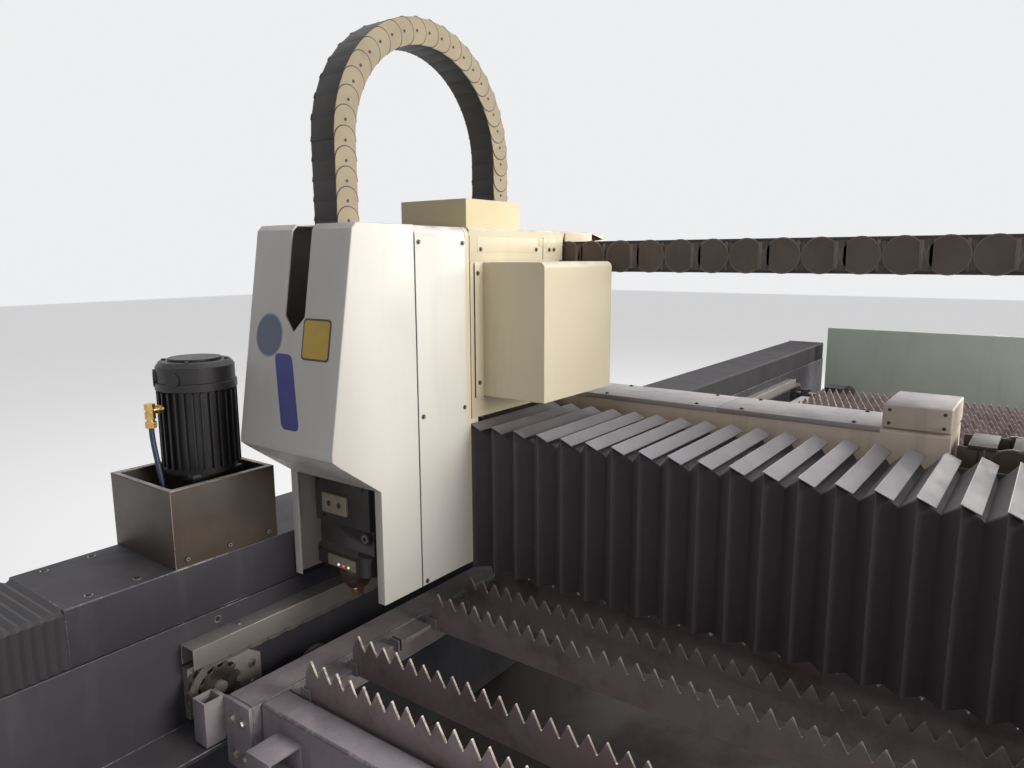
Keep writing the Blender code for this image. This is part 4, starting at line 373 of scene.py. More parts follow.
def shown(name, bm, mats):
    """A smooth-shaded object in the scene; mats are in the order of the faces' numbers."""
    mesh = bpy.data.meshes.new(name)
    bm.to_mesh(mesh)
    bm.free()
    mesh.shade_smooth()
    for mat in mats:
        mesh.materials.append(mat)
    piece = bpy.data.objects.new(name, mesh)
    bpy.context.scene.collection.objects.link(piece)
    return piece


def softened(node, mats, body, width, segments=2, worn=False, number_of=None, rolled=None):
    """The node's own shape as a clean shell with broken edges, shown in place of the node. rolled
    is a bending radius and a test that picks the edges it is bent at."""
    bm = bmesh.new()
    bm.from_mesh(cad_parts[node].data)
    bmesh.ops.remove_doubles(bm, verts=bm.verts, dist=0.00002)
    bmesh.ops.dissolve_limit(bm, angle_limit=math.radians(0.5), verts=bm.verts, edges=bm.edges)
    bmesh.ops.recalc_face_normals(bm, faces=bm.faces)
    for face in bm.faces:
        face.material_index = number_of(face) if number_of else 0
    if rolled:
        bmesh.ops.bevel(bm, geom=[edge for edge in bm.edges if rolled[1](edge)], offset=rolled[0],
                        segments=8, profile=0.5, affect="EDGES", material=-1)
    piece = shown(node + "_shell", bm, mats)
    broken_edges(piece, width, segments, worn=worn)
    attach(piece, body)
    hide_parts(node)
    return piece


def new_piece(name, bm, mats, body, smooth_angle=35.0):
    """A finished mesh object that rides on a body."""
    bmesh.ops.recalc_face_normals(bm, faces=bm.faces)
    piece = shown(name, bm, mats)
    piece.data.set_sharp_from_angle(angle=math.radians(smooth_angle))
    if body:
        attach(piece, body)
    return piece


def numbered(verts, number):
    """Give all faces at some vertices a material's number."""
    for vert in verts:
        for face in vert.link_faces:
            face.material_index = number


def new_verts(made):
    """The vertices in what an operator gives back."""
    return [part for part in made["geom"] if isinstance(part, bmesh.types.BMVert)]


def block(bm, x, y, z, number=0, radius=0.0, segments=2):
    """A box between pairs of limits, its edges rounded by a radius."""
    size = Matrix.Diagonal((x[1] - x[0], y[1] - y[0], z[1] - z[0], 1.0))
    middle = Matrix.Translation(((x[0] + x[1]) / 2, (y[0] + y[1]) / 2, (z[0] + z[1]) / 2))
    corners = bmesh.ops.create_cube(bm, size=1.0, matrix=middle @ size)["verts"]
    if radius:
        edges = list({edge for corner in corners for edge in corner.link_edges})
        corners = bmesh.ops.bevel(
            bm, geom=edges, offset=radius, segments=segments, profile=0.5, affect="EDGES",
            material=-1, clamp_overlap=True)["verts"]
    numbered(corners, number)


TURN_TO_AXIS = {
    "X": Matrix.Rotation(math.pi / 2, 4, "Y"),
    "Y": Matrix.Rotation(-math.pi / 2, 4, "X"),
    "Z": Matrix.Identity(4),
}


def rod(bm, centre, axis, radius, length, sides=16, number=0, tip=None):
    """A round bar along an axis, or a cone if its tip has another radius."""
    made = bmesh.ops.create_cone(
        bm, cap_ends=True, cap_tris=False, segments=sides, radius1=radius,
        radius2=radius if tip is None else tip, depth=length,
        matrix=Matrix.Translation(Vector(centre)) @ TURN_TO_AXIS[axis])
    numbered(made["verts"], number)


def plate(bm, outline, thick, number=0):
    """A flat plate: its outline filled, then drawn out by a vector."""
    corners = [bm.verts.new(point) for point in outline]
    drawn = new_verts(bmesh.ops.extrude_face_region(bm, geom=[bm.faces.new(corners)]))
    bmesh.ops.translate(bm, vec=thick, verts=drawn)
    numbered(drawn + corners, number)


def in_row(first, pitch, count):
    """Places at even steps along one axis."""
    return [first + pitch * i for i in range(count)]


def socket_screws(name, places, axis, out, body, mats, radius):
    """Socket-head screws on washers, one group in one mesh; out is +1 or -1 along the axis."""
    bm = bmesh.new()
    step = Vector([out if letter == axis else 0 for letter in "XYZ"])
    for place in places:
        rod(bm, Vector(place) + step * 0.0006, axis, radius * 1.45, 0.0014, 14, 0)
        rod(bm, Vector(place) + step * 0.0022, axis, radius, 0.0024, 12, 1)
        rod(bm, Vector(place) + step * 0.0036, axis, radius * 0.5, 0.0006, 6, 2)
    return new_piece(name, bm, mats, body)


bed_paint = painted(
    "bed_paint", (0.026, 0.024, 0.033), (0.040, 0.037, 0.045), rough=0.60, mottle=2.2, skin=700.0,
    dust=((0.085, 0.073, 0.072), 0.50), grime=((0.085, 0.074, 0.072), 0.45))
bed_worn = chipped(
    "bed_paint_worn", (0.050, 0.050, 0.064), bare=(0.34, 0.33, 0.34), wear=0.42, chips=90.0,
    rough=0.46)
bare_steel = metal(
    "bare_steel", (0.46, 0.45, 0.44), oxide=((0.30, 0.28, 0.26), 0.4), rough=0.26, metallic=1.0)
screw_black = metal(
    "screw_black", (0.035, 0.033, 0.032), oxide=((0.09, 0.075, 0.065), 0.5), patches=90.0,
    rough=0.42, metallic=0.6)
screw_steel = metal(
    "screw_steel", (0.42, 0.40, 0.37), oxide=((0.16, 0.13, 0.11), 0.7), patches=80.0, rough=0.33,
    metallic=0.9)


def bed_look(face):
    """Bare steel for the rails and racks that stand over the beams, paint for all else."""
    middle = face.calc_center_median()
    return 2 if middle.z > BEAM_TOP + 0.0005 and abs(middle.x) < GROUND_HALF_LENGTH else 0


softened("bed_frame", (bed_paint, bed_worn, bare_steel), "bed", 0.004, worn=True,
         number_of=bed_look)
socket_screws("beam_screws", [
    (x, side * (BEAM_INNER_Y - 0.0001), BEAM_SCREW_Z)
    for side in (-1, 1) for x in in_row(*BEAM_SCREW_X)
], "Y", -1, "bed", (screw_steel, screw_black, screw_black), 0.006)


# The end guard: one folded sheet behind the pallet, powder coated grey-green, bolted to the last
# cross member. Its top and sides are turned back for stiffness.
panel_grey = painted(
    "panel_grey", (0.34, 0.375, 0.335), (0.30, 0.33, 0.295), rough=0.5, mottle=1.4, skin=500.0,
    dust=((0.46, 0.44, 0.40), 0.5), grime=((0.28, 0.24, 0.17), 0.35))
softened("end_panel", (panel_grey,), "bed", 0.0015)
END_PANEL_X = 2.720
END_BOLT_PITCH = 0.28
END_BOLT_Z = 0.62
socket_screws("end_panel_bolts", [
    (END_PANEL_X + 0.0001, END_BOLT_PITCH * i, END_BOLT_Z) for i in range(-4, 5)
], "X", -1, "bed", (screw_steel, screw_steel, screw_black), 0.007)


# The scrap trays: folded from 4 mm plate, open-topped, standing on the low cross members under the
# slats. Their steel is left raw and turns brown with oxide and cutting dust.
tray_steel = metal(
    "tray_steel", (0.085, 0.075, 0.072), oxide=((0.055, 0.040, 0.032), 0.9), patches=3.0,
    rough=0.62, metallic=0.2)
for end in ("front", "rear"):
    softened("scrap_tray_" + end, (tray_steel,), "bed", 0.0012)


# The bellows over the X guides: black coated cloth folded on a fine pitch, open below, fixed to the
# bed's end plates and to the saddles. The long ones close up as the gantry goes back.
X_GUIDE_OUTER_Y = 1.578
X_GUIDE_BOTTOM = 0.8505
X_GUIDE_TOP = 0.9745
X_FOLD_PITCH = 0.0205
X_FOLD_DEPTH = 0.006
X_FOLD_WALL = 0.010
X_FOLD_CORNER = 0.012
X_REAR_SPAN = (-1.1197, 2.9697)
X_FRONT_SPAN = (-2.9697, -2.6203)
SIDES = ((1, "far"), (-1, "near"))


def sleeve(bm, outline, axis, stations, numbers):
    """A folded sleeve drawn out along an axis. outline holds (u, z, pull u, pull z), and stations
    hold (place, depth): where a station is deep, the corners are pulled in by that depth."""
    def at(place, u, z):
        return Vector((place, u, z)) if axis == "X" else Vector((u, place, z))

    corner = bm.verts.layers.int.new("corner")
    station = bm.verts.layers.int.new("station")
    ring = []
    for i, (u, z, _, _) in enumerate(outline):
        ring.append(bm.verts.new(at(stations[0][0], u, z)))
        ring[i][corner] = i
    edges = [bm.edges.new((ring[i - 1], ring[i])) for i in range(len(ring))]
    bmesh.ops.edgeloop_fill(bm, edges=edges)
    for i in range(1, len(stations)):
        grown = bmesh.ops.extrude_edge_only(bm, edges=edges)
        verts = new_verts(grown)
        bmesh.ops.translate(bm, vec=at(stations[i][0] - stations[i - 1][0], 0, 0), verts=verts)
        for vert in verts:
            vert[station] = i
        edges = [part for part in grown["geom"]
                 if isinstance(part, bmesh.types.BMEdge) and part.is_boundary]
    bmesh.ops.edgeloop_fill(bm, edges=edges)
    for face in bm.faces:
        face.material_index = numbers[min(vert[station] for vert in face.verts) % len(numbers)]
    for vert in bm.verts:
        _, _, pull_u, pull_z = outline[vert[corner]]
        depth = stations[vert[station]][1]
        vert.co += at(0, pull_u * depth, pull_z * depth)


def x_bellows(name, first, last, side):
    """One fine-pitched sleeve over a guide: ridge and valley in turn."""
    far, near = side * X_GUIDE_OUTER_Y, side * BEAM_INNER_Y
    wall = side * X_FOLD_WALL
    top, inner_top = X_GUIDE_TOP, X_GUIDE_TOP - X_FOLD_WALL
    r = X_FOLD_CORNER
    outline = [
        (near, X_GUIDE_BOTTOM, side, 0), (near, top - r, side, 0), (near + side * r, top, 0, -1),
        (far - side * r, top, 0, -1), (far, top - r, -side, 0), (far, X_GUIDE_BOTTOM, -side, 0),
        (far - wall, X_GUIDE_BOTTOM, 0, 0), (far - wall, inner_top, 0, 0),
        (near + wall, inner_top, 0, 0), (near + wall, X_GUIDE_BOTTOM, 0, 0),
    ]
    folds = 2 * round((last - first) / X_FOLD_PITCH)
    stations = [(first + (last - first) * i / folds, X_FOLD_DEPTH if i % 2 else 0.0)
                for i in range(folds + 1)]
    bm = bmesh.new()
    sleeve(bm, outline, "X", stations, (0,))
    return new_piece(name, bm, (guide_cloth,), None, 25.0)


guide_cloth = painted(
    "guide_bellows_cloth", (0.022, 0.021, 0.024), (0.034, 0.032, 0.036), rough=0.60, mottle=3.0,
    skin=1600.0, dust=((0.12, 0.11, 0.112), 0.45), grime=((0.07, 0.062, 0.06), 0.3))
for side, place in SIDES:
    rear = x_bellows("guide_bellows_rear_" + place, *X_REAR_SPAN, side)
    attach(rear, "bed")
    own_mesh(rear)
    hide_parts("x_bellows_rear_" + place)
    stack = x_bellows("guide_bellows_front_" + place, *X_FRONT_SPAN, side)
    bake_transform(stack)
    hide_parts("x_bellows_front_" + place)


# The chain guards: inverted channels of galvanised sheet along both beams, screwed on above the
# pallet chains. Their zinc has dulled to a warm mid grey in the cutting smoke.
GUARD_SCREW_X = (-2.26, 0.48, 10)
GUARD_SCREW_PLACE = (1.294, 0.8041)
guard_steel = metal(
    "guard_steel", (0.25, 0.235, 0.225), oxide=((0.15, 0.138, 0.128), 0.7), patches=4.5,
    rough=0.42, metallic=0.35)
guard_worn = chipped(
    "guard_steel_worn", (0.23, 0.22, 0.185), bare=(0.50, 0.48, 0.42), wear=0.46, chips=120.0,
    rough=0.38)
for place in ("far", "near"):
    softened("chain_guard_" + place, (guard_steel, guard_worn), "bed", 0.0012,
             worn=True)
socket_screws("chain_guard_screws", [
    (x, side * GUARD_SCREW_PLACE[0], GUARD_SCREW_PLACE[1])
    for side in (-1, 1) for x in in_row(*GUARD_SCREW_X)
], "Z", 1, "bed", (screw_steel, screw_steel, screw_black), 0.005)


# The pallet chains: endless roller chains of one-inch pitch, one along each beam, that pull the
# pallet in and out. Oiled link plates and rollers, dull brown with baked dust.
CHAIN_Y = 1.280
CHAIN_Z = 0.688
FRONT_SPROCKET_X = -2.332
REAR_SPROCKET_X = 2.200
CHAIN_TURN_RADIUS = 0.06396
LINK_PITCH = 0.0254
LINK_HALF_HEIGHT = 0.0098
LINK_PLATE = 0.0022
OUTER_PLATE_Y = 0.0088
INNER_PLATE_Y = 0.0060
ROLLER_RADIUS = 0.0072


def rounded_outline(length, radius, sides, both=True):
    """Points of a bar with round ends, or with only its upper end round, lying along local X."""
    points = []
    for i in range(sides + 1):
        turn = -math.pi / 2 + math.pi * i / sides
        points.append((length / 2 + radius * math.cos(turn), radius * math.sin(turn)))
    if not both:
        return points + [(-length / 2, radius), (-length / 2, -radius)]
    for i in range(sides + 1):
        turn = math.pi / 2 + math.pi * i / sides
        points.append((-length / 2 + radius * math.cos(turn), radius * math.sin(turn)))
    return points


def small_part(make, *values):
    """A mesh of one small part that is repeated, made about the origin by a function."""
    bm = bmesh.new()
    make(bm, *values)
    part = bpy.data.meshes.new("small_part")
    bm.to_mesh(part)
    bm.free()
    return part


def stamped(bm, part, matrix):
    """Add a copy of a small part, put in place by a matrix."""
    copy = part.copy()
    copy.transform(matrix)
    bm.from_mesh(copy)
    bpy.data.meshes.remove(copy)


def chain_place(along):
    """A point of the chain's middle line and its direction's angle, by length along the loop."""
    straight = REAR_SPROCKET_X - FRONT_SPROCKET_X
    half_turn = math.pi * CHAIN_TURN_RADIUS
    along %= 2 * (straight + half_turn)
    if along < straight:
        return FRONT_SPROCKET_X + along, CHAIN_Z + CHAIN_TURN_RADIUS, 0.0
    if along < straight + half_turn:
        turn = (along - straight) / CHAIN_TURN_RADIUS
        return (REAR_SPROCKET_X + CHAIN_TURN_RADIUS * math.sin(turn),
                CHAIN_Z + CHAIN_TURN_RADIUS * math.cos(turn), -turn)
    if along < 2 * straight + half_turn:
        back = along - straight - half_turn
        return REAR_SPROCKET_X - back, CHAIN_Z - CHAIN_TURN_RADIUS, math.pi
    turn = (along - 2 * straight - half_turn) / CHAIN_TURN_RADIUS
    return (FRONT_SPROCKET_X - CHAIN_TURN_RADIUS * math.sin(turn),
            CHAIN_Z - CHAIN_TURN_RADIUS * math.cos(turn), math.pi - turn)


chain_steel = metal(
    "chain_steel", (0.22, 0.19, 0.175), oxide=((0.095, 0.075, 0.066), 0.6), patches=30.0,
    rough=0.38, metallic=0.45)
roller_steel = metal(
    "roller_steel", (0.34, 0.31, 0.28), oxide=((0.14, 0.11, 0.09), 0.6), patches=50.0, rough=0.32,
    metallic=0.9)
loop = 2 * (REAR_SPROCKET_X - FRONT_SPROCKET_X + math.pi * CHAIN_TURN_RADIUS)
links = 2 * round(loop / LINK_PITCH / 2)


def roller_link(bm, offset):
    """Two round-ended link plates and the roller at their rear end."""
    for across in (-offset - LINK_PLATE / 2, offset - LINK_PLATE / 2):
        plate(bm, [(u, across, v) for u, v in rounded_outline(loop / links, LINK_HALF_HEIGHT, 3)],
              (0, LINK_PLATE, 0), 0)
    rod(bm, (loop / links / 2, 0, 0), "Y", ROLLER_RADIUS, 2 * INNER_PLATE_Y, 8, 1)


link_parts = (small_part(roller_link, OUTER_PLATE_Y), small_part(roller_link, INNER_PLATE_Y))
for side, place in SIDES:
    bm = bmesh.new()
    for i in range(links):
        x, z, turn = chain_place(loop / links * i)
        stamped(bm, link_parts[i % 2],
                Matrix.Translation((x, side * CHAIN_Y, z)) @ Matrix.Rotation(-turn, 4, "Y"))
    chain = new_piece(
        "pallet_chain_" + place, bm, (chain_steel, roller_steel), "bed", 40.0)
    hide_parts("drive_chain_" + place)


# The chain wheels: twelve-toothed, cut from plate. The front ones idle on pins in brackets that are
# bolted to the beams, and a hollow-shaft gear motor on the sill turns the rear shaft.
# Black paint, made darker still as painted shade.
motor_black = painted(
    "motor_black", (0.009, 0.0075, 0.009), (0.014, 0.012, 0.013), rough=0.40, mottle=9.0,
    skin=900.0, dust=((0.05, 0.044, 0.042), 0.4), grime=((0.05, 0.042, 0.038), 0.4))
# The steel is darkened as painted shade: the wheels lie under the guards.
wheel_steel = metal(
    "chain_wheel_steel", (0.13, 0.115, 0.105), oxide=((0.065, 0.05, 0.044), 0.8), patches=25.0,
    rough=0.36, metallic=0.85)
softened("pallet_drive_motor", (motor_black,), "bed", 0.003, 3)
softened("drive_shaft", (wheel_steel,), "drive_shaft", 0.0008)
BRACKET_BOLTS = ((-0.048, 0.046), (-0.048, -0.046), (0.100, 0.002), (0.100, -0.046))
BRACKET_FACE_Y = 1.2949
for side, place in SIDES:
    softened("idler_sprocket_" + place, (wheel_steel,), "idler_sprocket_" + place,
             0.0008)
    softened("sprocket_bracket_" + place, (guard_steel, guard_worn), "bed", 0.0015,
             worn=True)
for side, place in reversed(SIDES):
    socket_screws("bracket_bolts_" + place, [
        (FRONT_SPROCKET_X + dx, side * BRACKET_FACE_Y, CHAIN_Z + dz) for dx, dz in BRACKET_BOLTS
    ], "Y", -side, "bed", (screw_steel, screw_steel, screw_black), 0.0075)


# The shuttle pallet: square tube welded into a frame and sprayed grey over the mill scale, with
# bolted end plates, open corner posts and two catch tubes in front. It rolls on grooved wheels.
PALLET_FRONT_X = -2.360
PALLET_REAR_X = 1.970
PALLET_HALF_WIDTH = 1.190
PALLET_TOP = 0.715
PALLET_BOTTOM = 0.615
PALLET_TUBE = 0.090
FRONT_TUBE_X = (-2.345, -2.274)
REAR_TUBE_DEPTH = 0.080
CROSS_TUBE_SPAN = (-2.28, 1.89)
CROSS_TUBES = 7
CROSS_TUBE_WIDTH = 0.060
CROSS_TUBE_TOP = 0.699
WHEEL_X = (PALLET_FRONT_X + 0.260, PALLET_REAR_X - 0.270)
WHEEL_Z = 0.655
AXLE_RADIUS = 0.012
pallet_paint = painted(
    "pallet_paint", (0.30, 0.262, 0.284), (0.21, 0.182, 0.197), rough=0.52, mottle=5.0, skin=500.0,
    dust=((0.46, 0.41, 0.44), 0.75), grime=((0.075, 0.062, 0.058), 0.6))
pallet_worn = chipped(
    "pallet_paint_worn", (0.17, 0.15, 0.16), bare=(0.36, 0.33, 0.32), wear=0.44, chips=70.0,
    rough=0.48)
bm = bmesh.new()
inner_y = PALLET_HALF_WIDTH - PALLET_TUBE
for side in (-1, 1):
    block(bm, (PALLET_FRONT_X - 0.006, PALLET_REAR_X),
          sorted((side * inner_y, side * PALLET_HALF_WIDTH)), (PALLET_BOTTOM, PALLET_TOP))
for x in (FRONT_TUBE_X, (PALLET_REAR_X - REAR_TUBE_DEPTH, PALLET_REAR_X)):
    block(bm, x, (-inner_y, inner_y), (PALLET_BOTTOM, PALLET_TOP))
for i in range(CROSS_TUBES):
    x = CROSS_TUBE_SPAN[0] + (CROSS_TUBE_SPAN[1] - CROSS_TUBE_SPAN[0]) * i / (CROSS_TUBES - 1)
    block(bm, (x, x + CROSS_TUBE_WIDTH), (-inner_y, inner_y), (PALLET_BOTTOM, CROSS_TUBE_TOP))
for side in (-1, 1):
    for x in WHEEL_X:
        rod(bm, (x, side * (PALLET_HALF_WIDTH + 0.018), WHEEL_Z), "Y", AXLE_RADIUS, 0.044, 20)
frame_tubes = new_piece(
    "pallet_frame_welded", bm, (pallet_paint, pallet_worn), "pallet")
broken_edges(frame_tubes, 0.006, 3, worn=True)
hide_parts("pallet_frame")


def open_tube(bm, x, y, z, wall, along):
    """A square tube that is open at both ends: its four walls."""
    limits = [x, y, z]
    first, second = [axis for axis in range(3) if "XYZ"[axis] != along]
    for thin, wide in ((first, second), (second, first)):
        start, end = limits[thin]
        for low, high in ((start, start + wall), (end - wall, end)):
            walls = list(limits)
            walls[thin] = (low, high)
            if thin == second:
                walls[wide] = (limits[wide][0] + wall * 0.6, limits[wide][1] - wall * 0.6)
            block(bm, *walls, 0, 0.0012)


END_PLATE_X = (PALLET_FRONT_X - 0.014, PALLET_FRONT_X - 0.005)
END_PLATE_BOTTOM = 0.556
EAR_WIDTH = 0.047
EAR_Z = (0.620, 0.712)
POST_DEPTH = 0.046
POST_Y = (1.191, 1.237)
POST_Z = (0.614, 0.716)
CATCH_X = (-2.425, -2.345)
CATCH_Y = (0.965, 1.040)
CATCH_Z = (0.605, 0.675)
END_BOLTS = ((1.160, 0.675), (1.125, 0.675), (1.160, 0.590), (1.125, 0.590))
bm = bmesh.new()
front = END_PLATE_X[0]
for side in (-1, 1):
    plate_y = sorted((side * inner_y, side * PALLET_HALF_WIDTH))
    ear_y = sorted((side * PALLET_HALF_WIDTH, side * (PALLET_HALF_WIDTH + EAR_WIDTH)))
    block(bm, END_PLATE_X, plate_y, (END_PLATE_BOTTOM, PALLET_TOP), 0, 0.0015)
    block(bm, END_PLATE_X, ear_y, EAR_Z, 0, 0.0015)
    open_tube(bm, (front - POST_DEPTH, front), sorted(side * y for y in POST_Y), POST_Z, 0.005, "Z")
    open_tube(bm, CATCH_X, sorted(side * y for y in CATCH_Y), CATCH_Z, 0.006, "Y")
    for y, z in END_BOLTS:
        rod(bm, (front - 0.0008, side * y, z), "X", 0.0125, 0.0016, 18, 1)
        rod(bm, (front - 0.0050, side * y, z), "X", 0.0095, 0.0070, 6, 1)
new_piece("pallet_catches", bm, (pallet_paint, screw_steel), "pallet")

tyre_black = painted(
    "pallet_wheel_black", (0.05, 0.05, 0.05), (0.08, 0.07, 0.06), rough=0.5, mottle=20.0,
    skin=700.0, dust=((0.15, 0.13, 0.11), 0.4), grime=((0.12, 0.10, 0.08), 0.5))
WHEEL_RADIUS = 0.045
WHEEL_WIDTH = 0.036
GROOVE_FLOOR = WHEEL_RADIUS - 0.006
WHEEL_PROFILE = (
    # radius, share of the width
    (0.0123, -0.5), (0.020, -0.5), (0.021, -0.42), (0.034, -0.42), (0.036, -0.5),
    (WHEEL_RADIUS, -0.5), (WHEEL_RADIUS, -0.34), (GROOVE_FLOOR, -0.26), (GROOVE_FLOOR, 0.26),
    (WHEEL_RADIUS, 0.34), (WHEEL_RADIUS, 0.5), (0.036, 0.5), (0.034, 0.42), (0.021, 0.42),
    (0.020, 0.5), (0.0123, 0.5),
)
for end, x in zip(("front", "rear"), WHEEL_X):
    for side, place in SIDES:
        corner = end + "_" + place
        middle = side * (PALLET_HALF_WIDTH + 0.004 + WHEEL_WIDTH / 2)
        bm = bmesh.new()
        made = [bm.verts.new((x, middle + share * WHEEL_WIDTH, WHEEL_Z + r))
                for r, share in WHEEL_PROFILE]
        ring = [bm.edges.new((made[i - 1], made[i])) for i in range(len(made))]
        bmesh.ops.spin(bm, geom=made + ring, cent=(x, middle, WHEEL_Z), axis=(0, 1, 0),
                       angle=2 * math.pi, steps=28, use_merge=True)
        wheel = new_piece("pallet_wheel_" + corner + "_turned", bm, (tyre_black,),
                          "wheel_" + corner)
        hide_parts("pallet_wheel_" + corner)


# The slats: plasma-cut strips of mild steel that stand on edge on two flat ledges, each end held
# by a pair of clips. The teeth carry the work, so their tips are uneven and burnt bright.
SLAT_FIRST_X = -2.263
SLAT_PITCH = 0.1335
SLAT_POSITIONS = 32
SLAT_MISSING = 2
SLAT_HALF_SPAN = 1.048
SLAT_BOTTOM = 0.700
SLAT_TOP = 0.800
SLAT_THICKNESS = 0.005
SLAT_TEETH = 52
TOOTH_DEPTH = 0.034
TIP_WEAR = 0.0035
LEDGE_Y = (1.046, 1.099)
LEDGE_Z = (SLAT_BOTTOM + 0.001, SLAT_BOTTOM + 0.0125)
CLIP_Y = (1.030, 1.062)
CLIP_HEIGHT = 0.030
CLIP_WIDTH = 0.0040
CLIP_SHIFTS = (-0.0075, 0.0035)  # from the slat's middle to each clip of its pair


def slat_steel_material():
    """Oxidised strip whose teeth turn bright towards their tips, by height."""
    mat = metal(
        "slat_steel", (0.31, 0.245, 0.255), oxide=((0.17, 0.122, 0.118), 0.9), patches=7.0,
        rough=0.50, metallic=0.35)
    tree = mat.node_tree
    shader = tree.nodes["Principled BSDF"]
    dull = shader.inputs["Base Color"].links[0].from_socket
    place = tree.nodes.new("ShaderNodeTexCoord").outputs["Object"]
    ragged = math_node(tree, "MULTIPLY", noise_node(tree, place, 90.0, 3.0), 0.010)
    height = math_node(tree, "SUBTRACT", split_axes(tree, place)["Z"], ragged)
    bright = tree.nodes.new("ShaderNodeRGB").outputs[0]
    bright.default_value = (0.62, 0.58, 0.52, 1.0)
    tip = spread_mask(tree, height, SLAT_TOP - 0.016, SLAT_TOP - 0.006)
    tree.links.new(mixed(tree, tip, dull, bright), shader.inputs["Base Color"])
    return mat


slat_steel = slat_steel_material()
slat_cut = metal(
    "slat_cut_edge", (0.60, 0.54, 0.47), oxide=((0.20, 0.15, 0.125), 0.75), patches=60.0,
    rough=0.40, metallic=0.55)
wear = random.Random(7)
bm = bmesh.new()
tooth = 2 * SLAT_HALF_SPAN / SLAT_TEETH
for i in range(SLAT_POSITIONS):
    if i == SLAT_MISSING:
        continue
    x = SLAT_FIRST_X + i * SLAT_PITCH
    lean = wear.uniform(-0.002, 0.002)
    top = []
    for k in range(SLAT_TEETH):
        left = SLAT_HALF_SPAN - k * tooth
        tip = SLAT_TOP - wear.uniform(0.0, TIP_WEAR)
        skew = wear.uniform(-0.0015, 0.0015)
        top += [(left - 0.0015, SLAT_TOP - TOOTH_DEPTH), (left - 0.485 * tooth + skew, tip),
                (left - 0.525 * tooth + skew, tip - 0.0006),
                (left - tooth + 0.0015, SLAT_TOP - TOOTH_DEPTH)]
    foot = [(-SLAT_HALF_SPAN, SLAT_BOTTOM + 0.020), (-SLAT_HALF_SPAN + 0.012, SLAT_BOTTOM),
            (SLAT_HALF_SPAN - 0.012, SLAT_BOTTOM), (SLAT_HALF_SPAN, SLAT_BOTTOM + 0.020)]
    outline = [(x - SLAT_THICKNESS / 2 + lean * (z - SLAT_BOTTOM) / (SLAT_TOP - SLAT_BOTTOM), y, z)
               for y, z in top + foot]
    plate(bm, outline, (SLAT_THICKNESS, 0, 0), 0)
bm.normal_update()
for face in bm.faces:
    if abs(face.normal.x) < 0.5 and face.calc_center_median().z > SLAT_TOP - TOOTH_DEPTH - 0.001:
        face.material_index = 2
last_slat = SLAT_FIRST_X + (SLAT_POSITIONS - 1) * SLAT_PITCH
for side in (-1, 1):
    block(bm, (SLAT_FIRST_X - 0.007, last_slat + 0.060), sorted(side * y for y in LEDGE_Y),
          LEDGE_Z, 1, 0.001, 1)
    for i in range(SLAT_POSITIONS):
        x = SLAT_FIRST_X + i * SLAT_PITCH
        for shift in CLIP_SHIFTS:
            block(bm, (x + shift, x + shift + CLIP_WIDTH), sorted(side * y for y in CLIP_Y),
                  (SLAT_BOTTOM, SLAT_BOTTOM + CLIP_HEIGHT), 1)
slats = new_piece(
    "slats_in_combs", bm, (slat_steel, pallet_paint, slat_cut), "pallet", 25.0)
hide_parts("slat_grid")


# The gantry: two cast saddles on the X guides with a welded box beam across them, ground where the
# Y rails are screwed on. Painted like the bed and knocked bare along the saddles' edges.
SADDLE_TOP = 0.9748
LID_SCREW_X = (-2.56, -2.46, -1.98, -1.88, -1.26, -1.18)
LID_SCREW_Y = (1.345, 1.550)
for place in ("far", "near"):
    softened("saddle_" + place, (bed_paint, bed_worn), "gantry", 0.004, worn=True)
softened("gantry_beam", (bed_paint, bed_worn), "gantry", 0.004, worn=True)
softened("rear_carrier", (bed_paint, bed_worn), "gantry", 0.002, worn=True)
for name in ("lower", "upper"):
    softened("y_rail_" + name, (bare_steel,), "gantry", 0.0008)
socket_screws("saddle_lid_screws", [
    (x, side * y, SADDLE_TOP - 0.00025)
    for side in (-1, 1) for x in LID_SCREW_X for y in LID_SCREW_Y
], "Z", 1, "gantry", (screw_steel, screw_black, screw_black), 0.006)


# The X drives: planetary gearboxes flanged on the saddles with servo motors above, all sprayed
# black, the black made darker still as painted shade. Each motor has cooling ribs, a bolted end
# bell and two turned plug sockets.
X_MOTOR_X = -2.2275
X_MOTOR_Y = 1.452
GEARBOX_RADIUS = 0.066
NECK_RADIUS = 0.052
MOTOR_FOOT_Z = (1.135, 1.155)
MOTOR_RADIUS = 0.080
COOLING_RIBS = 28
RIB_Z = (1.165, 1.345)
COLLAR_RADIUS = 0.0915
BELL_RADIUS = 0.088
PLUG_RADII = (0.021, 0.017)
PLUG_TURNS = (150, 205)
cooling_rib = small_part(lambda bm: block(bm, (0.076, 0.0895), (-0.0022, 0.0022), RIB_Z))
plug_sockets = [small_part(lambda bm: rod(bm, (0.080, 0, 1.375), "X", radius, 0.026, 20))
                for radius in PLUG_RADII]


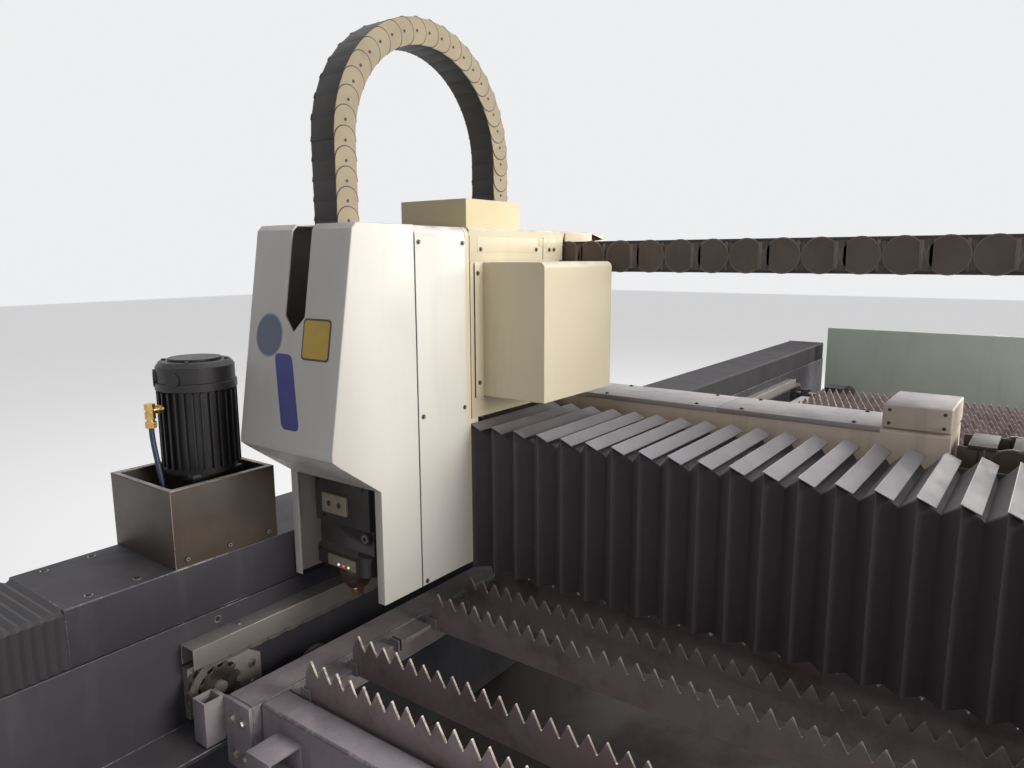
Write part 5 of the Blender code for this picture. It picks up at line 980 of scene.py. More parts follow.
def servo_drive(bm, x, y, side):
    """Flange, gearbox, ribbed motor and end bell on a vertical axis, with its two plugs."""
    block(bm, (x - 0.075, x + 0.075), (y - 0.075, y + 0.075), (SADDLE_TOP, SADDLE_TOP + 0.020),
          0, 0.003)
    rod(bm, (x, y, SADDLE_TOP + 0.060), "Z", GEARBOX_RADIUS, 0.085, 32)
    rod(bm, (x, y, SADDLE_TOP + 0.112), "Z", GEARBOX_RADIUS, 0.022, 32, 0, NECK_RADIUS)
    rod(bm, (x, y, SADDLE_TOP + 0.145), "Z", NECK_RADIUS, 0.050, 32)
    block(bm, (x - 0.066, x + 0.066), (y - 0.066, y + 0.066), MOTOR_FOOT_Z, 0, 0.004)
    rod(bm, (x, y, 1.262), "Z", MOTOR_RADIUS, 0.225, 48)
    for i in range(COOLING_RIBS):
        turn = Matrix.Rotation(2 * math.pi * i / COOLING_RIBS, 4, "Z")
        stamped(bm, cooling_rib, Matrix.Translation((x, y, 0)) @ turn)
    rod(bm, (x, y, 1.357), "Z", COLLAR_RADIUS, 0.018, 48)
    rod(bm, (x, y, 1.384), "Z", BELL_RADIUS, 0.036, 48)
    rod(bm, (x, y, 1.408), "Z", BELL_RADIUS, 0.012, 48, 0, 0.079)
    rod(bm, (x, y, 1.417), "Z", 0.060, 0.006, 32)
    for i in range(4):
        turn = math.pi / 4 + math.pi / 2 * i
        for reach, z, radius, length in ((0.071, 1.4145, 0.0055, 0.006),
                                         (0.088, SADDLE_TOP + 0.024, 0.0065, 0.008)):
            rod(bm, (x + reach * math.cos(turn), y + reach * math.sin(turn), z), "Z", radius,
                length, 6, 1)
    for degrees, plug in zip(PLUG_TURNS, plug_sockets):
        turn = Matrix.Rotation(math.radians(degrees) * side, 4, "Z")
        stamped(bm, plug, Matrix.Translation((x, y, 0)) @ turn)


for side, place in SIDES:
    bm = bmesh.new()
    servo_drive(bm, X_MOTOR_X, side * X_MOTOR_Y, side)
    drive = new_piece(
        "x_servo_drive_" + place, bm, (motor_black, screw_black), "gantry")
    broken_edges(drive, 0.0010, 2, 45.0)
    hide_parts("x_motor_" + place)
    softened("x_pinion_" + place, (bare_steel,), "x_pinion_" + place, 0.0006)


# The motor guards: open boxes folded from 3 mm sheet round the gearboxes' feet, with a turned-in
# lip and spot-welded corners, sprayed dark brown over the bare sheet; the brown is darkened further
# as painted shade.
# Dark brown paint, darkened further as painted shade.
box_paint = painted(
    "box_paint", (0.085, 0.064, 0.050), (0.052, 0.040, 0.032), rough=0.44, mottle=6.0, skin=600.0,
    dust=((0.13, 0.105, 0.088), 0.5), grime=((0.055, 0.044, 0.038), 0.7))
box_worn = chipped(
    "box_paint_worn", (0.11, 0.086, 0.070), bare=(0.36, 0.31, 0.26), wear=0.46, chips=110.0,
    rough=0.42)
GUARD_X = (-2.388, -2.123)
GUARD_Y = (1.317, 1.577)
GUARD_TOP = 1.153
LIP_Z = (GUARD_TOP - 0.003, GUARD_TOP)
LIP_ACROSS = 0.016
LIP_ENDS = 0.012
GUARD_FOOT_SCREW_X = (-2.36, -2.255, -2.15)
GUARD_FOOT_SCREW_Z = 0.992
for side, place in SIDES:
    softened("motor_guard_" + place, (box_paint, box_worn), "gantry", 0.0012,
             worn=True)
    bm = bmesh.new()
    (x_low, x_high), (y_low, y_high) = GUARD_X, GUARD_Y
    for y0, y1 in ((y_low, y_low + LIP_ACROSS), (y_high - LIP_ACROSS, y_high)):
        block(bm, GUARD_X, sorted((side * y0, side * y1)), LIP_Z, 0, 0.0008)
    between_y = sorted((side * (y_low + LIP_ACROSS), side * (y_high - LIP_ACROSS)))
    for x in ((x_low, x_low + LIP_ENDS), (x_high - LIP_ENDS, x_high)):
        block(bm, x, between_y, LIP_Z, 0, 0.0008)
    new_piece("motor_guard_lip_" + place, bm, (box_worn,), "gantry")
    socket_screws("motor_guard_screws_" + place, [
        (x, side * (y_low - 0.0002), GUARD_FOOT_SCREW_Z) for x in GUARD_FOOT_SCREW_X
    ], "Y", -side, "gantry", (screw_black, screw_steel, screw_black), 0.005)


# The air line: a turned brass fitting on the far motor and a short blue hose from it down through
# the guard box. The fitting has a hexagon above and a knurled ring below.
FITTING = Vector((-2.352, 1.440, 1.300))
HOSE_RADIUS = 0.006
HOSE_POINTS = 25
HOSE_FOOT_Z = 0.9745
HOSE_SWAY = (0.004, -0.020)
KNURLS = 24
brass = metal(
    "brass", (0.66, 0.45, 0.16), oxide=((0.30, 0.185, 0.07), 0.6), patches=50.0, rough=0.24,
    metallic=1.0)
hose_blue = painted(
    "hose_blue", (0.012, 0.018, 0.060), (0.018, 0.025, 0.075), rough=0.30, mottle=20.0,
    skin=1200.0, dust=((0.10, 0.10, 0.12), 0.2))
bm = bmesh.new()
for lift, radius, length, sides in ((0.0205, 0.0118, 0.014, 6), (0.0115, 0.0095, 0.006, 20),
                                    (0.001, 0.0118, 0.016, 6), (-0.0095, 0.0090, 0.007, 20),
                                    (-0.0200, 0.0116, 0.0145, 24)):
    rod(bm, FITTING + Vector((0, 0, lift)), "Z", radius, length, sides)
for i in range(KNURLS):
    turn = 2 * math.pi * i / KNURLS
    rod(bm, FITTING + Vector((0.0115 * math.cos(turn), 0.0115 * math.sin(turn), -0.0200)), "Z",
        0.0011, 0.012, 5)
rod(bm, FITTING + Vector((0.0145, 0, 0.012)), "X", 0.0088, 0.028, 20)
rod(bm, FITTING + Vector((0.0210, 0, 0.012)), "X", 0.0112, 0.008, 6)
fitting = new_piece("air_fitting_turned", bm, (brass,), "gantry")
broken_edges(fitting, 0.0006, 2, 40.0)
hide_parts("air_fitting")

hose_top = FITTING.z - 0.0275 - 0.0007
hose_low = HOSE_FOOT_Z + 0.0007
hose_line = []
for i in range(HOSE_POINTS):
    share = i / (HOSE_POINTS - 1)
    sway = math.sin(math.pi * share) ** 2
    hose_line.append(Vector((FITTING.x + HOSE_SWAY[0] * sway, FITTING.y + HOSE_SWAY[1] * sway,
                             hose_top + (hose_low - hose_top) * share)))
hose_curve = bpy.data.curves.new("air_hose_line", "CURVE")
hose_curve.dimensions = "3D"
hose_curve.bevel_depth = HOSE_RADIUS
hose_curve.bevel_resolution = 4
hose_curve.use_fill_caps = True
hose_spline = hose_curve.splines.new("POLY")
hose_spline.points.add(HOSE_POINTS - 1)
for point, place in zip(hose_spline.points, hose_line):
    point.co = (*place, 1.0)
hose_curve.materials.append(hose_blue)
hose = bpy.data.objects.new("air_hose_line", hose_curve)
bpy.context.scene.collection.objects.link(hose)
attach(hose, "gantry")
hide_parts("air_hose")


# The bellows over the gantry: black coated cloth folded over stiff plates, with a flat grey lamella
# riveted along every ridge. The near one closes up as the carriage comes towards it.
Y_COVER_FRONT_X = -1.7635
Y_COVER_REAR_X = -1.3925
Y_COVER_TOP = 1.2335
Y_COVER_BOTTOM = 0.902
Y_COVER_NEAR_FRONT_BOTTOM = 0.848
Y_COVER_WALL = 0.0365
Y_NEAR_SPAN = (0.9897, -1.300)
Y_FAR_SPAN = (1.3093, 1.5093)
Y_PLEATS = 34
# The share from 0 to 0.03 of each pleat is the painted highlight band along its ridge.
Y_FOLD_SHARES = ((0.0, 0.0), (0.03, 0.0), (0.515, 0.0325))
LAMELLA_WIDTH = 0.46
LAMELLA_DROP = 0.44             # how far its free edge hangs, as a share of its width
LAMELLA_THICKNESS = 0.0018
LAMELLA_LIP = 0.0045


def y_bellows(name, first, last, front_bottom):
    """A sleeve with deep folds, its ridges at even steps from first to last."""
    front, rear, top = Y_COVER_FRONT_X, Y_COVER_REAR_X, Y_COVER_TOP - 0.0045
    rear_bottom, inside, round_off = Y_COVER_BOTTOM, Y_COVER_WALL, 0.003
    outline = [
        (front, front_bottom, 1, 0), (front, top - round_off, 1, -1),
        (front + round_off, top, 1, -1), (rear - round_off, top, -1, -1),
        (rear, top - round_off, -1, -1), (rear, rear_bottom, -1, 0),
        (rear - inside, rear_bottom, 0, 0), (rear - inside, top - inside, 0, 0),
        (front + inside, top - inside, 0, 0), (front + inside, front_bottom, 0, 0),
    ]
    pitch = (last - first) / Y_PLEATS
    stations = [(first + (i + share) * pitch, depth)
                for i in range(Y_PLEATS) for share, depth in Y_FOLD_SHARES]
    bm = bmesh.new()
    sleeve(bm, outline, "Y", stations + [(last, 0.0)], (1, 0, 0))
    return new_piece(name, bm, (gantry_cloth, fold_highlight), None, 20.0)


def lamellas(name, first, last):
    """The flat strips on the ridges: each hangs from a lip that is bent down into the cloth."""
    pitch = (last - first) / Y_PLEATS
    left, right = Y_COVER_FRONT_X - 0.0020, Y_COVER_REAR_X + 0.0025
    top = Y_COVER_TOP - 0.0010
    bm = bmesh.new()
    for i in range(Y_PLEATS):
        start = first + i * pitch
        end = start + LAMELLA_WIDTH * pitch
        low = top - LAMELLA_DROP * abs(end - start)
        plate(bm, [(left, start, top), (left, end, low), (left, end, low - LAMELLA_THICKNESS),
                   (left, start, top - LAMELLA_THICKNESS)], (right - left, 0, 0), 0)
        bent = start + 0.0012
        plate(bm, [(left, start, top), (left, bent, top), (left, bent, top - LAMELLA_LIP),
                   (left, start, top - LAMELLA_LIP)], (right - left, 0, 0), 1)
    return new_piece(name, bm, (lamella_grey, lamella_lip_wear_and_highlight), None, 20.0)


gantry_cloth = painted(
    "gantry_bellows_cloth", (0.050, 0.038, 0.044), (0.060, 0.047, 0.053), rough=0.56, mottle=4.0,
    skin=1500.0, dust=((0.105, 0.092, 0.10), 0.6), grime=((0.026, 0.020, 0.023), 0.5))
# A lighter band along each ridge of the cloth: a painted highlight on the fold's edge.
fold_highlight = painted(
    "bellows_fold_edge", (0.070, 0.060, 0.068), (0.055, 0.046, 0.053), rough=0.5, mottle=12.0,
    skin=1500.0, dust=((0.16, 0.15, 0.16), 0.5))
lamella_grey = painted(
    "lamella_grey", (0.145, 0.133, 0.145), (0.108, 0.098, 0.108), rough=0.46, mottle=9.0,
    skin=900.0, dust=((0.195, 0.183, 0.197), 0.75), grime=((0.13, 0.12, 0.13), 0.4))
# The lips are lighter than the strips: worn paint, and a painted highlight along each strip's bent
# edge.
lamella_lip_wear_and_highlight = chipped(
    "lamella_lip_wear_and_highlight", (0.20, 0.185, 0.20), bare=(0.50, 0.48, 0.50), wear=0.44, chips=80.0, rough=0.4)
near_cloth = y_bellows("gantry_bellows_near", *Y_NEAR_SPAN, Y_COVER_NEAR_FRONT_BOTTOM)
near_strips = lamellas("gantry_lamellas_near", *Y_NEAR_SPAN)
for piece in (near_cloth, near_strips):
    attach(piece, "gantry")
    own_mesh(piece)
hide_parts("y_bellows_near")
far_cloth = y_bellows("gantry_bellows_far", *Y_FAR_SPAN, Y_COVER_BOTTOM)
far_strips = lamellas("gantry_lamellas_far", *Y_FAR_SPAN)
for piece in (far_cloth, far_strips):
    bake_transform(piece)
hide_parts("y_bellows_far")


# The cable duct behind the gantry: a beige sheet-steel trough with screwed lids, a raised end box
# over the cables' exit, and an open galvanised tray where the chain lies down. Its fronts carry
# painted light in a beige lighter than the paint, and its tops and lids a grey of dust and painted
# shade.
DUCT_FRONT_X = -1.338
DUCT_REAR_X = -1.160
DUCT_TOP = 1.259
DUCT_LIDS = ((0.120, 0.510), (0.512, 0.904), (0.906, 1.300))
END_BOX_SCREW_Y = (-0.008, 0.103)
END_BOX_SCREW_Z = (1.272, 1.303)
# The beige is lighter than the paint itself: painted light on the fronts and sides.
duct_paint = painted(
    "duct_paint", (0.80, 0.68, 0.565), (0.72, 0.61, 0.505), rough=0.45, mottle=2.0, skin=900.0,
    dust=((0.50, 0.46, 0.43), 0.6), grime=((0.30, 0.245, 0.20), 0.4))
duct_dust_and_shade = painted(
    "duct_top_dust_and_shade", (0.40, 0.365, 0.355), (0.34, 0.315, 0.315), rough=0.52, mottle=2.4,
    skin=900.0, dust=((0.29, 0.275, 0.29), 0.7), grime=((0.28, 0.24, 0.21), 0.3))
# Faces that look up take the grey of dust and painted shade.
for name in ("cable_duct", "duct_end_box"):
    softened(name, (duct_paint, duct_dust_and_shade), "gantry", 0.0016,
             number_of=lambda face: 1 if face.normal.z > 0.9 else 0)
bm = bmesh.new()
for y in DUCT_LIDS:
    block(bm, (DUCT_FRONT_X - 0.0018, DUCT_REAR_X + 0.0018), y, (DUCT_TOP, DUCT_TOP + 0.0015),
          0, 0.0006)
    block(bm, (DUCT_FRONT_X - 0.0018, DUCT_FRONT_X - 0.0003), y,
          (DUCT_TOP - 0.012, DUCT_TOP + 0.0009), 0, 0.0006)
new_piece("duct_lids", bm, (duct_dust_and_shade,), "gantry")
socket_screws("duct_lid_screws", [
    (x, y, DUCT_TOP + 0.0016) for low, high in DUCT_LIDS for y in (low + 0.06, high - 0.06)
    for x in (DUCT_FRONT_X + 0.014, DUCT_REAR_X - 0.014)
], "Z", 1, "gantry", (screw_black, screw_black, screw_black), 0.004)
socket_screws("end_box_screws", [
    (DUCT_FRONT_X - 0.0001, y, z) for y in END_BOX_SCREW_Y for z in END_BOX_SCREW_Z
], "X", -1, "gantry", (screw_steel, screw_black, screw_black), 0.0035)
softened("chain_tray", (guard_steel, guard_worn), "gantry", 0.0012, worn=True)


# The Y cable chain: moulded brown links, every second side plate an outer one with round ends. Its
# upper run hangs from the arm, rolls over a half turn and lies down towards the duct.
Y_CHAIN_X = (-1.330, -1.180)
Y_CHAIN_HEIGHT = 0.090
Y_CHAIN_TOP_Z = 1.650
Y_CHAIN_RADIUS = 0.226
Y_CHAIN_BEND_Y = -0.250
Y_CHAIN_START_Y = 0.984
Y_CHAIN_END_Y = -0.0233
SIDE_PLATE = 0.006
INNER_LINK_STEP = 0.0045
UPPER_LINKS = 14
TURN_LINKS = 8
LOWER_LINKS = 2
chain_brown = painted(
    "chain_brown", (0.108, 0.078, 0.062), (0.078, 0.056, 0.045), rough=0.46, mottle=9.0,
    skin=1200.0, dust=((0.185, 0.15, 0.13), 0.6), grime=((0.042, 0.032, 0.028), 0.5))
# A lighter brown on the ribs and round the links' round ends: a painted highlight.
chain_rim_highlight = painted(
    "chain_rim_highlight", (0.19, 0.155, 0.135), (0.135, 0.108, 0.094), rough=0.42, mottle=14.0, skin=1200.0,
    dust=((0.25, 0.215, 0.195), 0.5))
# Near black for the cross bars, and as painted shade in each link's groove.
chain_dark = painted(
    "chain_dark", (0.026, 0.020, 0.018), (0.036, 0.028, 0.025), rough=0.52, mottle=9.0,
    skin=1200.0, dust=((0.12, 0.10, 0.09), 0.5))


def y_chain_link(bm, length, outer):
    """One link along local X, its sides at local Y, from near (low) to far."""
    half = (Y_CHAIN_X[1] - Y_CHAIN_X[0]) / 2
    radius = Y_CHAIN_HEIGHT / 2 - 0.001
    # The rib's lighter colour is a painted highlight, and the groove is a raised near-black strip:
    # painted shade.
    rib, groove = ((-0.16, -0.06), 0.72), ((0.08, 0.15), 0.74)
    if not outer:
        rib, groove = ((-0.14, -0.05), 0.80), ((0.08, 0.16), 0.80)
    for side in (-1, 1):
        face_y = side * (half if outer else half - INNER_LINK_STEP)
        low, high = sorted((face_y, face_y - side * SIDE_PLATE))
        if outer:
            shape = rounded_outline(length, radius * 0.80, 9)
            plate(bm, [(u, low, v) for u, v in shape], (0, high - low, 0), 0)
            for end in (-length / 2, length / 2):
                rod(bm, (end, face_y - side * 0.0030, 0), "Y", radius, 0.0066, 28, 1)
                rod(bm, (end, face_y - side * 0.0028, 0), "Y", radius * 0.93, 0.0068, 28, 0)
        else:
            block(bm, (-length / 2 - 0.020, length / 2 + 0.020), (low, high),
                  (-radius * 0.86, radius * 0.86), 0, 0.002)
        foot = face_y - side * 0.0006
        for ((start, end), height), proud, number, round_off in ((rib, 0.0026, 1, 0.0008),
                                                                 (groove, 0.0012, 2, 0.0)):
            block(bm, (length * start, length * end), sorted((foot, foot + side * proud)),
                  (-radius * height, radius * height), number, round_off)
    for v in (-radius * 0.96, radius * 0.96 - 0.010):
        block(bm, (-length * 0.51, length * 0.51), (-half + 0.004, half - 0.004), (v, v + 0.010),
              2, 0.001)


def link_matrix(place, along, outward):
    """The matrix of a link from its place and the directions of its local X and Z."""
    basis = Matrix((along, outward.cross(along), outward)).transposed().to_4x4()
    return Matrix.Translation(place) @ basis


def y_chain_place(y, z, turn):
    """A link's place, turned in the YZ plane: 0 is the upper run, pi the lower one. Local X goes
    along the chain, local Y towards world X and local Z outwards from the bend."""
    along = Vector((0, -math.cos(turn), -math.sin(turn)))
    outward = Vector((0, -math.sin(turn), math.cos(turn)))
    return link_matrix(((Y_CHAIN_X[0] + Y_CHAIN_X[1]) / 2, y, z), along, outward)


def y_chain_piece(name, places):
    """One run of the chain from its links' (matrix, length, whether outer)."""
    bm = bmesh.new()
    for matrix, length, outer in places:
        stamped(bm, small_part(y_chain_link, length, outer), matrix)
    return new_piece(name, bm, (chain_brown, chain_rim_highlight, chain_dark), None, 30.0)


upper_pitch = (Y_CHAIN_START_Y - Y_CHAIN_BEND_Y) / UPPER_LINKS
turn_pitch = math.pi * Y_CHAIN_RADIUS / TURN_LINKS
chain_centre_z = Y_CHAIN_TOP_Z - Y_CHAIN_RADIUS
upper = y_chain_piece("y_chain_upper_run", [
    (y_chain_place(Y_CHAIN_START_Y - (i + 0.5) * upper_pitch, Y_CHAIN_TOP_Z, 0.0),
     upper_pitch - (0.0 if i else 0.012), i % 2 == 0) for i in range(UPPER_LINKS)
])
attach(upper, "carriage")
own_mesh(upper)
bend_places = []
for i in range(TURN_LINKS):
    turn = math.pi * (i + 0.5) / TURN_LINKS
    matrix = y_chain_place(Y_CHAIN_BEND_Y - Y_CHAIN_RADIUS * math.sin(turn),
                           chain_centre_z + Y_CHAIN_RADIUS * math.cos(turn), turn)
    bend_places.append((matrix, turn_pitch, i % 2 == 1))
bend = y_chain_piece("y_chain_bend", bend_places)
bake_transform(bend)
lower_pitch = (Y_CHAIN_END_Y - 0.001 - Y_CHAIN_BEND_Y) / LOWER_LINKS
lower = y_chain_piece("y_chain_lower_run", [
    (y_chain_place(Y_CHAIN_BEND_Y + (i + 0.5) * lower_pitch, Y_CHAIN_TOP_Z - 2 * Y_CHAIN_RADIUS,
                   math.pi), lower_pitch - (0.060 if i else 0.0), i == 0)
    for i in range(LOWER_LINKS)
])
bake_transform(lower)
for piece in (upper, bend, lower):
    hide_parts("y_cable_chain")


# The carriage: a milled steel plate on the gantry's rails, sprayed cream like its covers, with a
# shelf for the Y gear motor, the Y pinion under it, and the Z motor and ball screw in front.
cover_cream = painted(
    "cover_cream", (0.70, 0.625, 0.455), (0.66, 0.585, 0.43), rough=0.36, mottle=2.2, skin=1100.0,
    dust=((0.33, 0.305, 0.33), 0.95), grime=((0.52, 0.46, 0.36), 0.35))
softened("carriage_plate", (cover_cream,), "carriage", 0.002)
for name in ("y_gear_motor", "z_motor"):
    softened(name, (motor_black,), "carriage", 0.002)
softened("y_pinion", (bare_steel,), "y_pinion", 0.0006)
softened("z_ball_screw", (bare_steel,), "z_ball_screw", 0.0006)


# The carriage covers: 3 mm sheet bent to a leaning nose in front and a hood behind, powder coated
# off-white. A black rubber strip closes the joint between them, and the cut chain slot is open.
COVER_NEAR_Y = 0.990
COVER_FAR_Y = 1.309
COVER_TOP = 1.722
COVER_BOTTOM = 0.864
COVER_RADIUS = 0.022
COVER_REAR_X = -1.764
SEAM_X = -1.9555
SEAM_WIDTH = 0.0030
BAND_WIDTH = 0.016
COVER_SIDES = ((-1, "near", COVER_NEAR_Y), (1, "far", COVER_FAR_Y))
cover_paint = painted(
    "cover_paint", (0.745, 0.725, 0.685), (0.700, 0.675, 0.635), rough=0.34, mottle=2.6,
    skin=1100.0, dust=((0.33, 0.305, 0.335), 0.95), grime=((0.56, 0.52, 0.47), 0.30))
seal_black = painted(
    "seal_black", (0.035, 0.032, 0.028), (0.06, 0.055, 0.048), rough=0.6, mottle=30.0, skin=1400.0,
    dust=((0.13, 0.12, 0.11), 0.4))
softened("cover_front", (cover_paint,), "carriage", 0.0015)
softened("cover_rear", (cover_paint,), "carriage", 0.0010)


def hood_line(grow, radius, steps=8):
    """Points of the hood's section from the near foot over the top to the far foot, as (y, z)."""
    near, far, top = COVER_NEAR_Y - grow, COVER_FAR_Y + grow, COVER_TOP + grow
    line = [(near, COVER_BOTTOM)]
    for middle, first in ((near + radius, math.pi), (far - radius, math.pi / 2)):
        for i in range(steps + 1):
            turn = first - math.pi / 2 * i / steps
            line.append((middle + radius * math.cos(turn), top - radius + radius * math.sin(turn)))
    return line + [(far, COVER_BOTTOM)]


def hood_band(bm, x, width, grow, depth):
    """A strip that follows the hood's section, standing proud by grow."""
    outer = hood_line(grow, COVER_RADIUS + grow)
    inner = hood_line(grow - depth, COVER_RADIUS + grow - depth)
    plate(bm, [(x, y, z) for y, z in outer + inner[::-1]], (width, 0, 0))


bm = bmesh.new()
hood_band(bm, SEAM_X - SEAM_WIDTH / 2, SEAM_WIDTH, 0.0004, 0.0022)
new_piece("cover_seal", bm, (seal_black,), "carriage")
bm = bmesh.new()
hood_band(bm, COVER_REAR_X - BAND_WIDTH, BAND_WIDTH, 0.0006, 0.0022)
new_piece("cover_rear_band", bm, (cover_cream,), "carriage")


# The access panels: flat sheets of the covers' make, screwed on both sides of the hood. The Z slide
# is greased through them.
PANEL_X = (-1.9535, -1.7805)
PANEL_Z = (0.866, 1.696)
PANEL_SCREWS = (
    (-1.943, 1.684), (-1.790, 1.683), (-1.940, 1.2815), (-1.7905, 1.280), (-1.940, 0.874),
)
for side, place, face_y in COVER_SIDES:
    bm = bmesh.new()
    block(bm, PANEL_X, sorted((face_y - side * 0.001, face_y + side * 0.0012)), PANEL_Z, 0, 0.0007)
    new_piece("access_panel_" + place, bm, (cover_paint,), "carriage")
    socket_screws("access_panel_screws_" + place, [
        (x, face_y + side * 0.0012, z) for x, z in PANEL_SCREWS
    ], "Y", side, "carriage", (screw_steel, screw_black, screw_steel), 0.0042)


# Plain patches on the nose: a blue-grey disc, a yellow square with round corners and one leaning
# blue stripe, cut from sheet vinyl and stuck on.
PATCHES = (
    # name, colour, shade, dust's colour, roughness
    ("patch_slate", (0.085, 0.12, 0.19), (0.11, 0.14, 0.21), (0.2, 0.2, 0.25), 0.35),
    ("patch_pale", (0.34, 0.37, 0.42), (0.28, 0.31, 0.36), (0.3, 0.3, 0.3), 0.35),
    ("patch_yellow", (0.66, 0.44, 0.035), (0.60, 0.39, 0.04), (0.4, 0.3, 0.1), 0.35),
    ("patch_black", (0.02, 0.018, 0.016), (0.03, 0.028, 0.025), (0.1, 0.1, 0.1), 0.4),
    ("patch_blue", (0.020, 0.030, 0.22), (0.030, 0.040, 0.26), (0.10, 0.10, 0.2), 0.35),
)
NOSE_HIGH = Vector((-2.136, 0, 1.710))
NOSE_LOW = Vector((-2.213, 0, 1.249))
up_nose = (NOSE_HIGH - NOSE_LOW).normalized()
across_nose = Vector((0, -1, 0))
out_of_nose = across_nose.cross(up_nose).normalized()


def nose_patch(bm, y, z, half_width, half_height, radius, lift, number, lean=0.0, steps=5):
    """A rounded patch 0.4 mm thick on the nose; lean slides its upper edge sideways."""
    share = (z - NOSE_LOW.z) / (NOSE_HIGH.z - NOSE_LOW.z)
    middle = NOSE_LOW.lerp(NOSE_HIGH, share) + Vector((0, y, 0)) + out_of_nose * lift
    outline = []
    for corner_u, corner_v, first in ((1, 1, 0), (-1, 1, 90), (-1, -1, 180), (1, -1, 270)):
        for i in range(steps + 1):
            turn = math.radians(first + 90 * i / steps)
            u = corner_u * (half_width - radius) + radius * math.cos(turn)
            v = corner_v * (half_height - radius) + radius * math.sin(turn)
            outline.append(middle + across_nose * (u + lean * v) + up_nose * v)
    plate(bm, outline, out_of_nose * 0.0004, number)


DISC_PLACE = (1.232, 1.480)
SQUARE_PLACE = (1.071, 1.478)
STRIPE_PLACE = (1.155, 1.361)
bm = bmesh.new()
nose_patch(bm, *DISC_PLACE, 0.047, 0.049, 0.0469, 0.0001, 1, steps=10)
nose_patch(bm, *DISC_PLACE, 0.043, 0.045, 0.0429, 0.0006, 0, steps=10)
nose_patch(bm, *SQUARE_PLACE, 0.045, 0.045, 0.010, 0.0001, 3)
nose_patch(bm, *SQUARE_PLACE, 0.0405, 0.0405, 0.007, 0.0006, 2)
nose_patch(bm, *STRIPE_PLACE, 0.030, 0.082, 0.014, 0.0001, 4, lean=-0.28)
new_piece("nose_patches", bm, [
    painted(name, color, shade, rough, mottle=12.0, skin=1200.0, dust=(dust, 0.2))
    for name, color, shade, dust, rough in PATCHES
], "carriage")


# The arm: a shallow folded lid over the gantry that joins the hood to the moving cable chain. Its
# skirts are lapped and screwed, and it is sprayed in the cream of the carriage plate.
ARM_BEND = 0.020
LAP_Z = (1.6605, 1.6990)
LAPS = (
    # x, z
    ((-1.7310, -1.4675), LAP_Z), ((-1.4225, -1.3780), LAP_Z),
    ((-1.4675, -1.4225), (1.6770, LAP_Z[1])),
)
JOINT_X = (-1.7634, -1.4420)
JOINT_WIDTH = 0.0012
JOINT_BOTTOM = 1.642
ARM_SCREW_X = (-1.7190, -1.4760, -1.4110, -1.3880)
ARM_SCREW_Z = 1.6690


def arm_edge(edge):
    """The arm's two long upper edges."""
    near, far = (vert.co for vert in edge.verts)
    return (min(near.z, far.z) > COVER_TOP - 0.0005 and abs(near.y - far.y) < 1e-5
            and min(abs(near.y - COVER_NEAR_Y), abs(near.y - COVER_FAR_Y)) < 0.005)


softened("top_arm", (cover_cream,), "carriage", 0.0015, rolled=(ARM_BEND, arm_edge))
bm = bmesh.new()
for side, _, face_y in COVER_SIDES:
    y = sorted((face_y - side * 0.0006, face_y + side * 0.0009))
    for x, z in LAPS:
        block(bm, x, y, z, 0, 0.0005)
new_piece("arm_lap_plates", bm, (cover_cream,), "carriage")
bm = bmesh.new()
for x in JOINT_X:
    for side, _, face_y in COVER_SIDES:
        block(bm, (x, x + JOINT_WIDTH), sorted((face_y, face_y + side * 0.0012)),
              (JOINT_BOTTOM, COVER_TOP - ARM_BEND))
    block(bm, (x, x + JOINT_WIDTH), (COVER_NEAR_Y + ARM_BEND, COVER_FAR_Y - ARM_BEND),
          (COVER_TOP, COVER_TOP + 0.0006))
new_piece("arm_joints", bm, (seal_black,), "carriage")
for side, place, face_y in COVER_SIDES:
    socket_screws("arm_screws_" + place, [
        (x, face_y + side * 0.0009, ARM_SCREW_Z) for x in ARM_SCREW_X
    ], "Y", side, "carriage", (screw_steel, screw_black, screw_steel), 0.0042)


# The side box: a drawn cover over the lying Y motor, rounded where it is bent, with a welded
# mounting flange screwed to the carriage.
SIDE_BOX_X = (-1.7125, -1.387)
SIDE_BOX_NEAR_Y = 0.801
SIDE_BOX_Z = (1.297, 1.637)
SIDE_FLANGE_X = (-1.745, -1.7120)
SIDE_BOX_BEND = 0.016
SIDE_BOX_SCREWS = ((-1.7350, 1.610), (-1.7315, 1.334))
bm = bmesh.new()
block(bm, SIDE_BOX_X, (SIDE_BOX_NEAR_Y, COVER_NEAR_Y - 0.0003), SIDE_BOX_Z, 0)
near_edges = [
    edge for edge in bm.edges
    if all(abs(vert.co.y - SIDE_BOX_NEAR_Y) < 1e-5 for vert in edge.verts)
    and all(vert.co.z > SIDE_BOX_Z[1] - 1e-5 for vert in edge.verts)
]
bmesh.ops.bevel(bm, geom=near_edges, offset=SIDE_BOX_BEND, segments=8, profile=0.5,
                affect="EDGES", material=-1)
flange_face_y = COVER_NEAR_Y - 0.0033
block(bm, SIDE_FLANGE_X, (flange_face_y, COVER_NEAR_Y - 0.0003), SIDE_BOX_Z, 0, 0.0008)
box = new_piece("side_box_drawn", bm, (cover_cream,), "carriage", 40.0)
broken_edges(box, 0.0015, 2, 60.0)
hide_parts("side_box")
socket_screws("side_box_screws", [
    (x, flange_face_y, z) for x, z in SIDE_BOX_SCREWS
], "Y", -1, "carriage", (screw_steel, screw_black, screw_steel), 0.0042)
bm = bmesh.new()
block(bm, (SIDE_FLANGE_X[0] - 0.0018, SIDE_FLANGE_X[0]),
      (COVER_NEAR_Y - 0.0028, COVER_NEAR_Y - 0.0004), (SIDE_BOX_Z[0], COVER_TOP - 0.090))
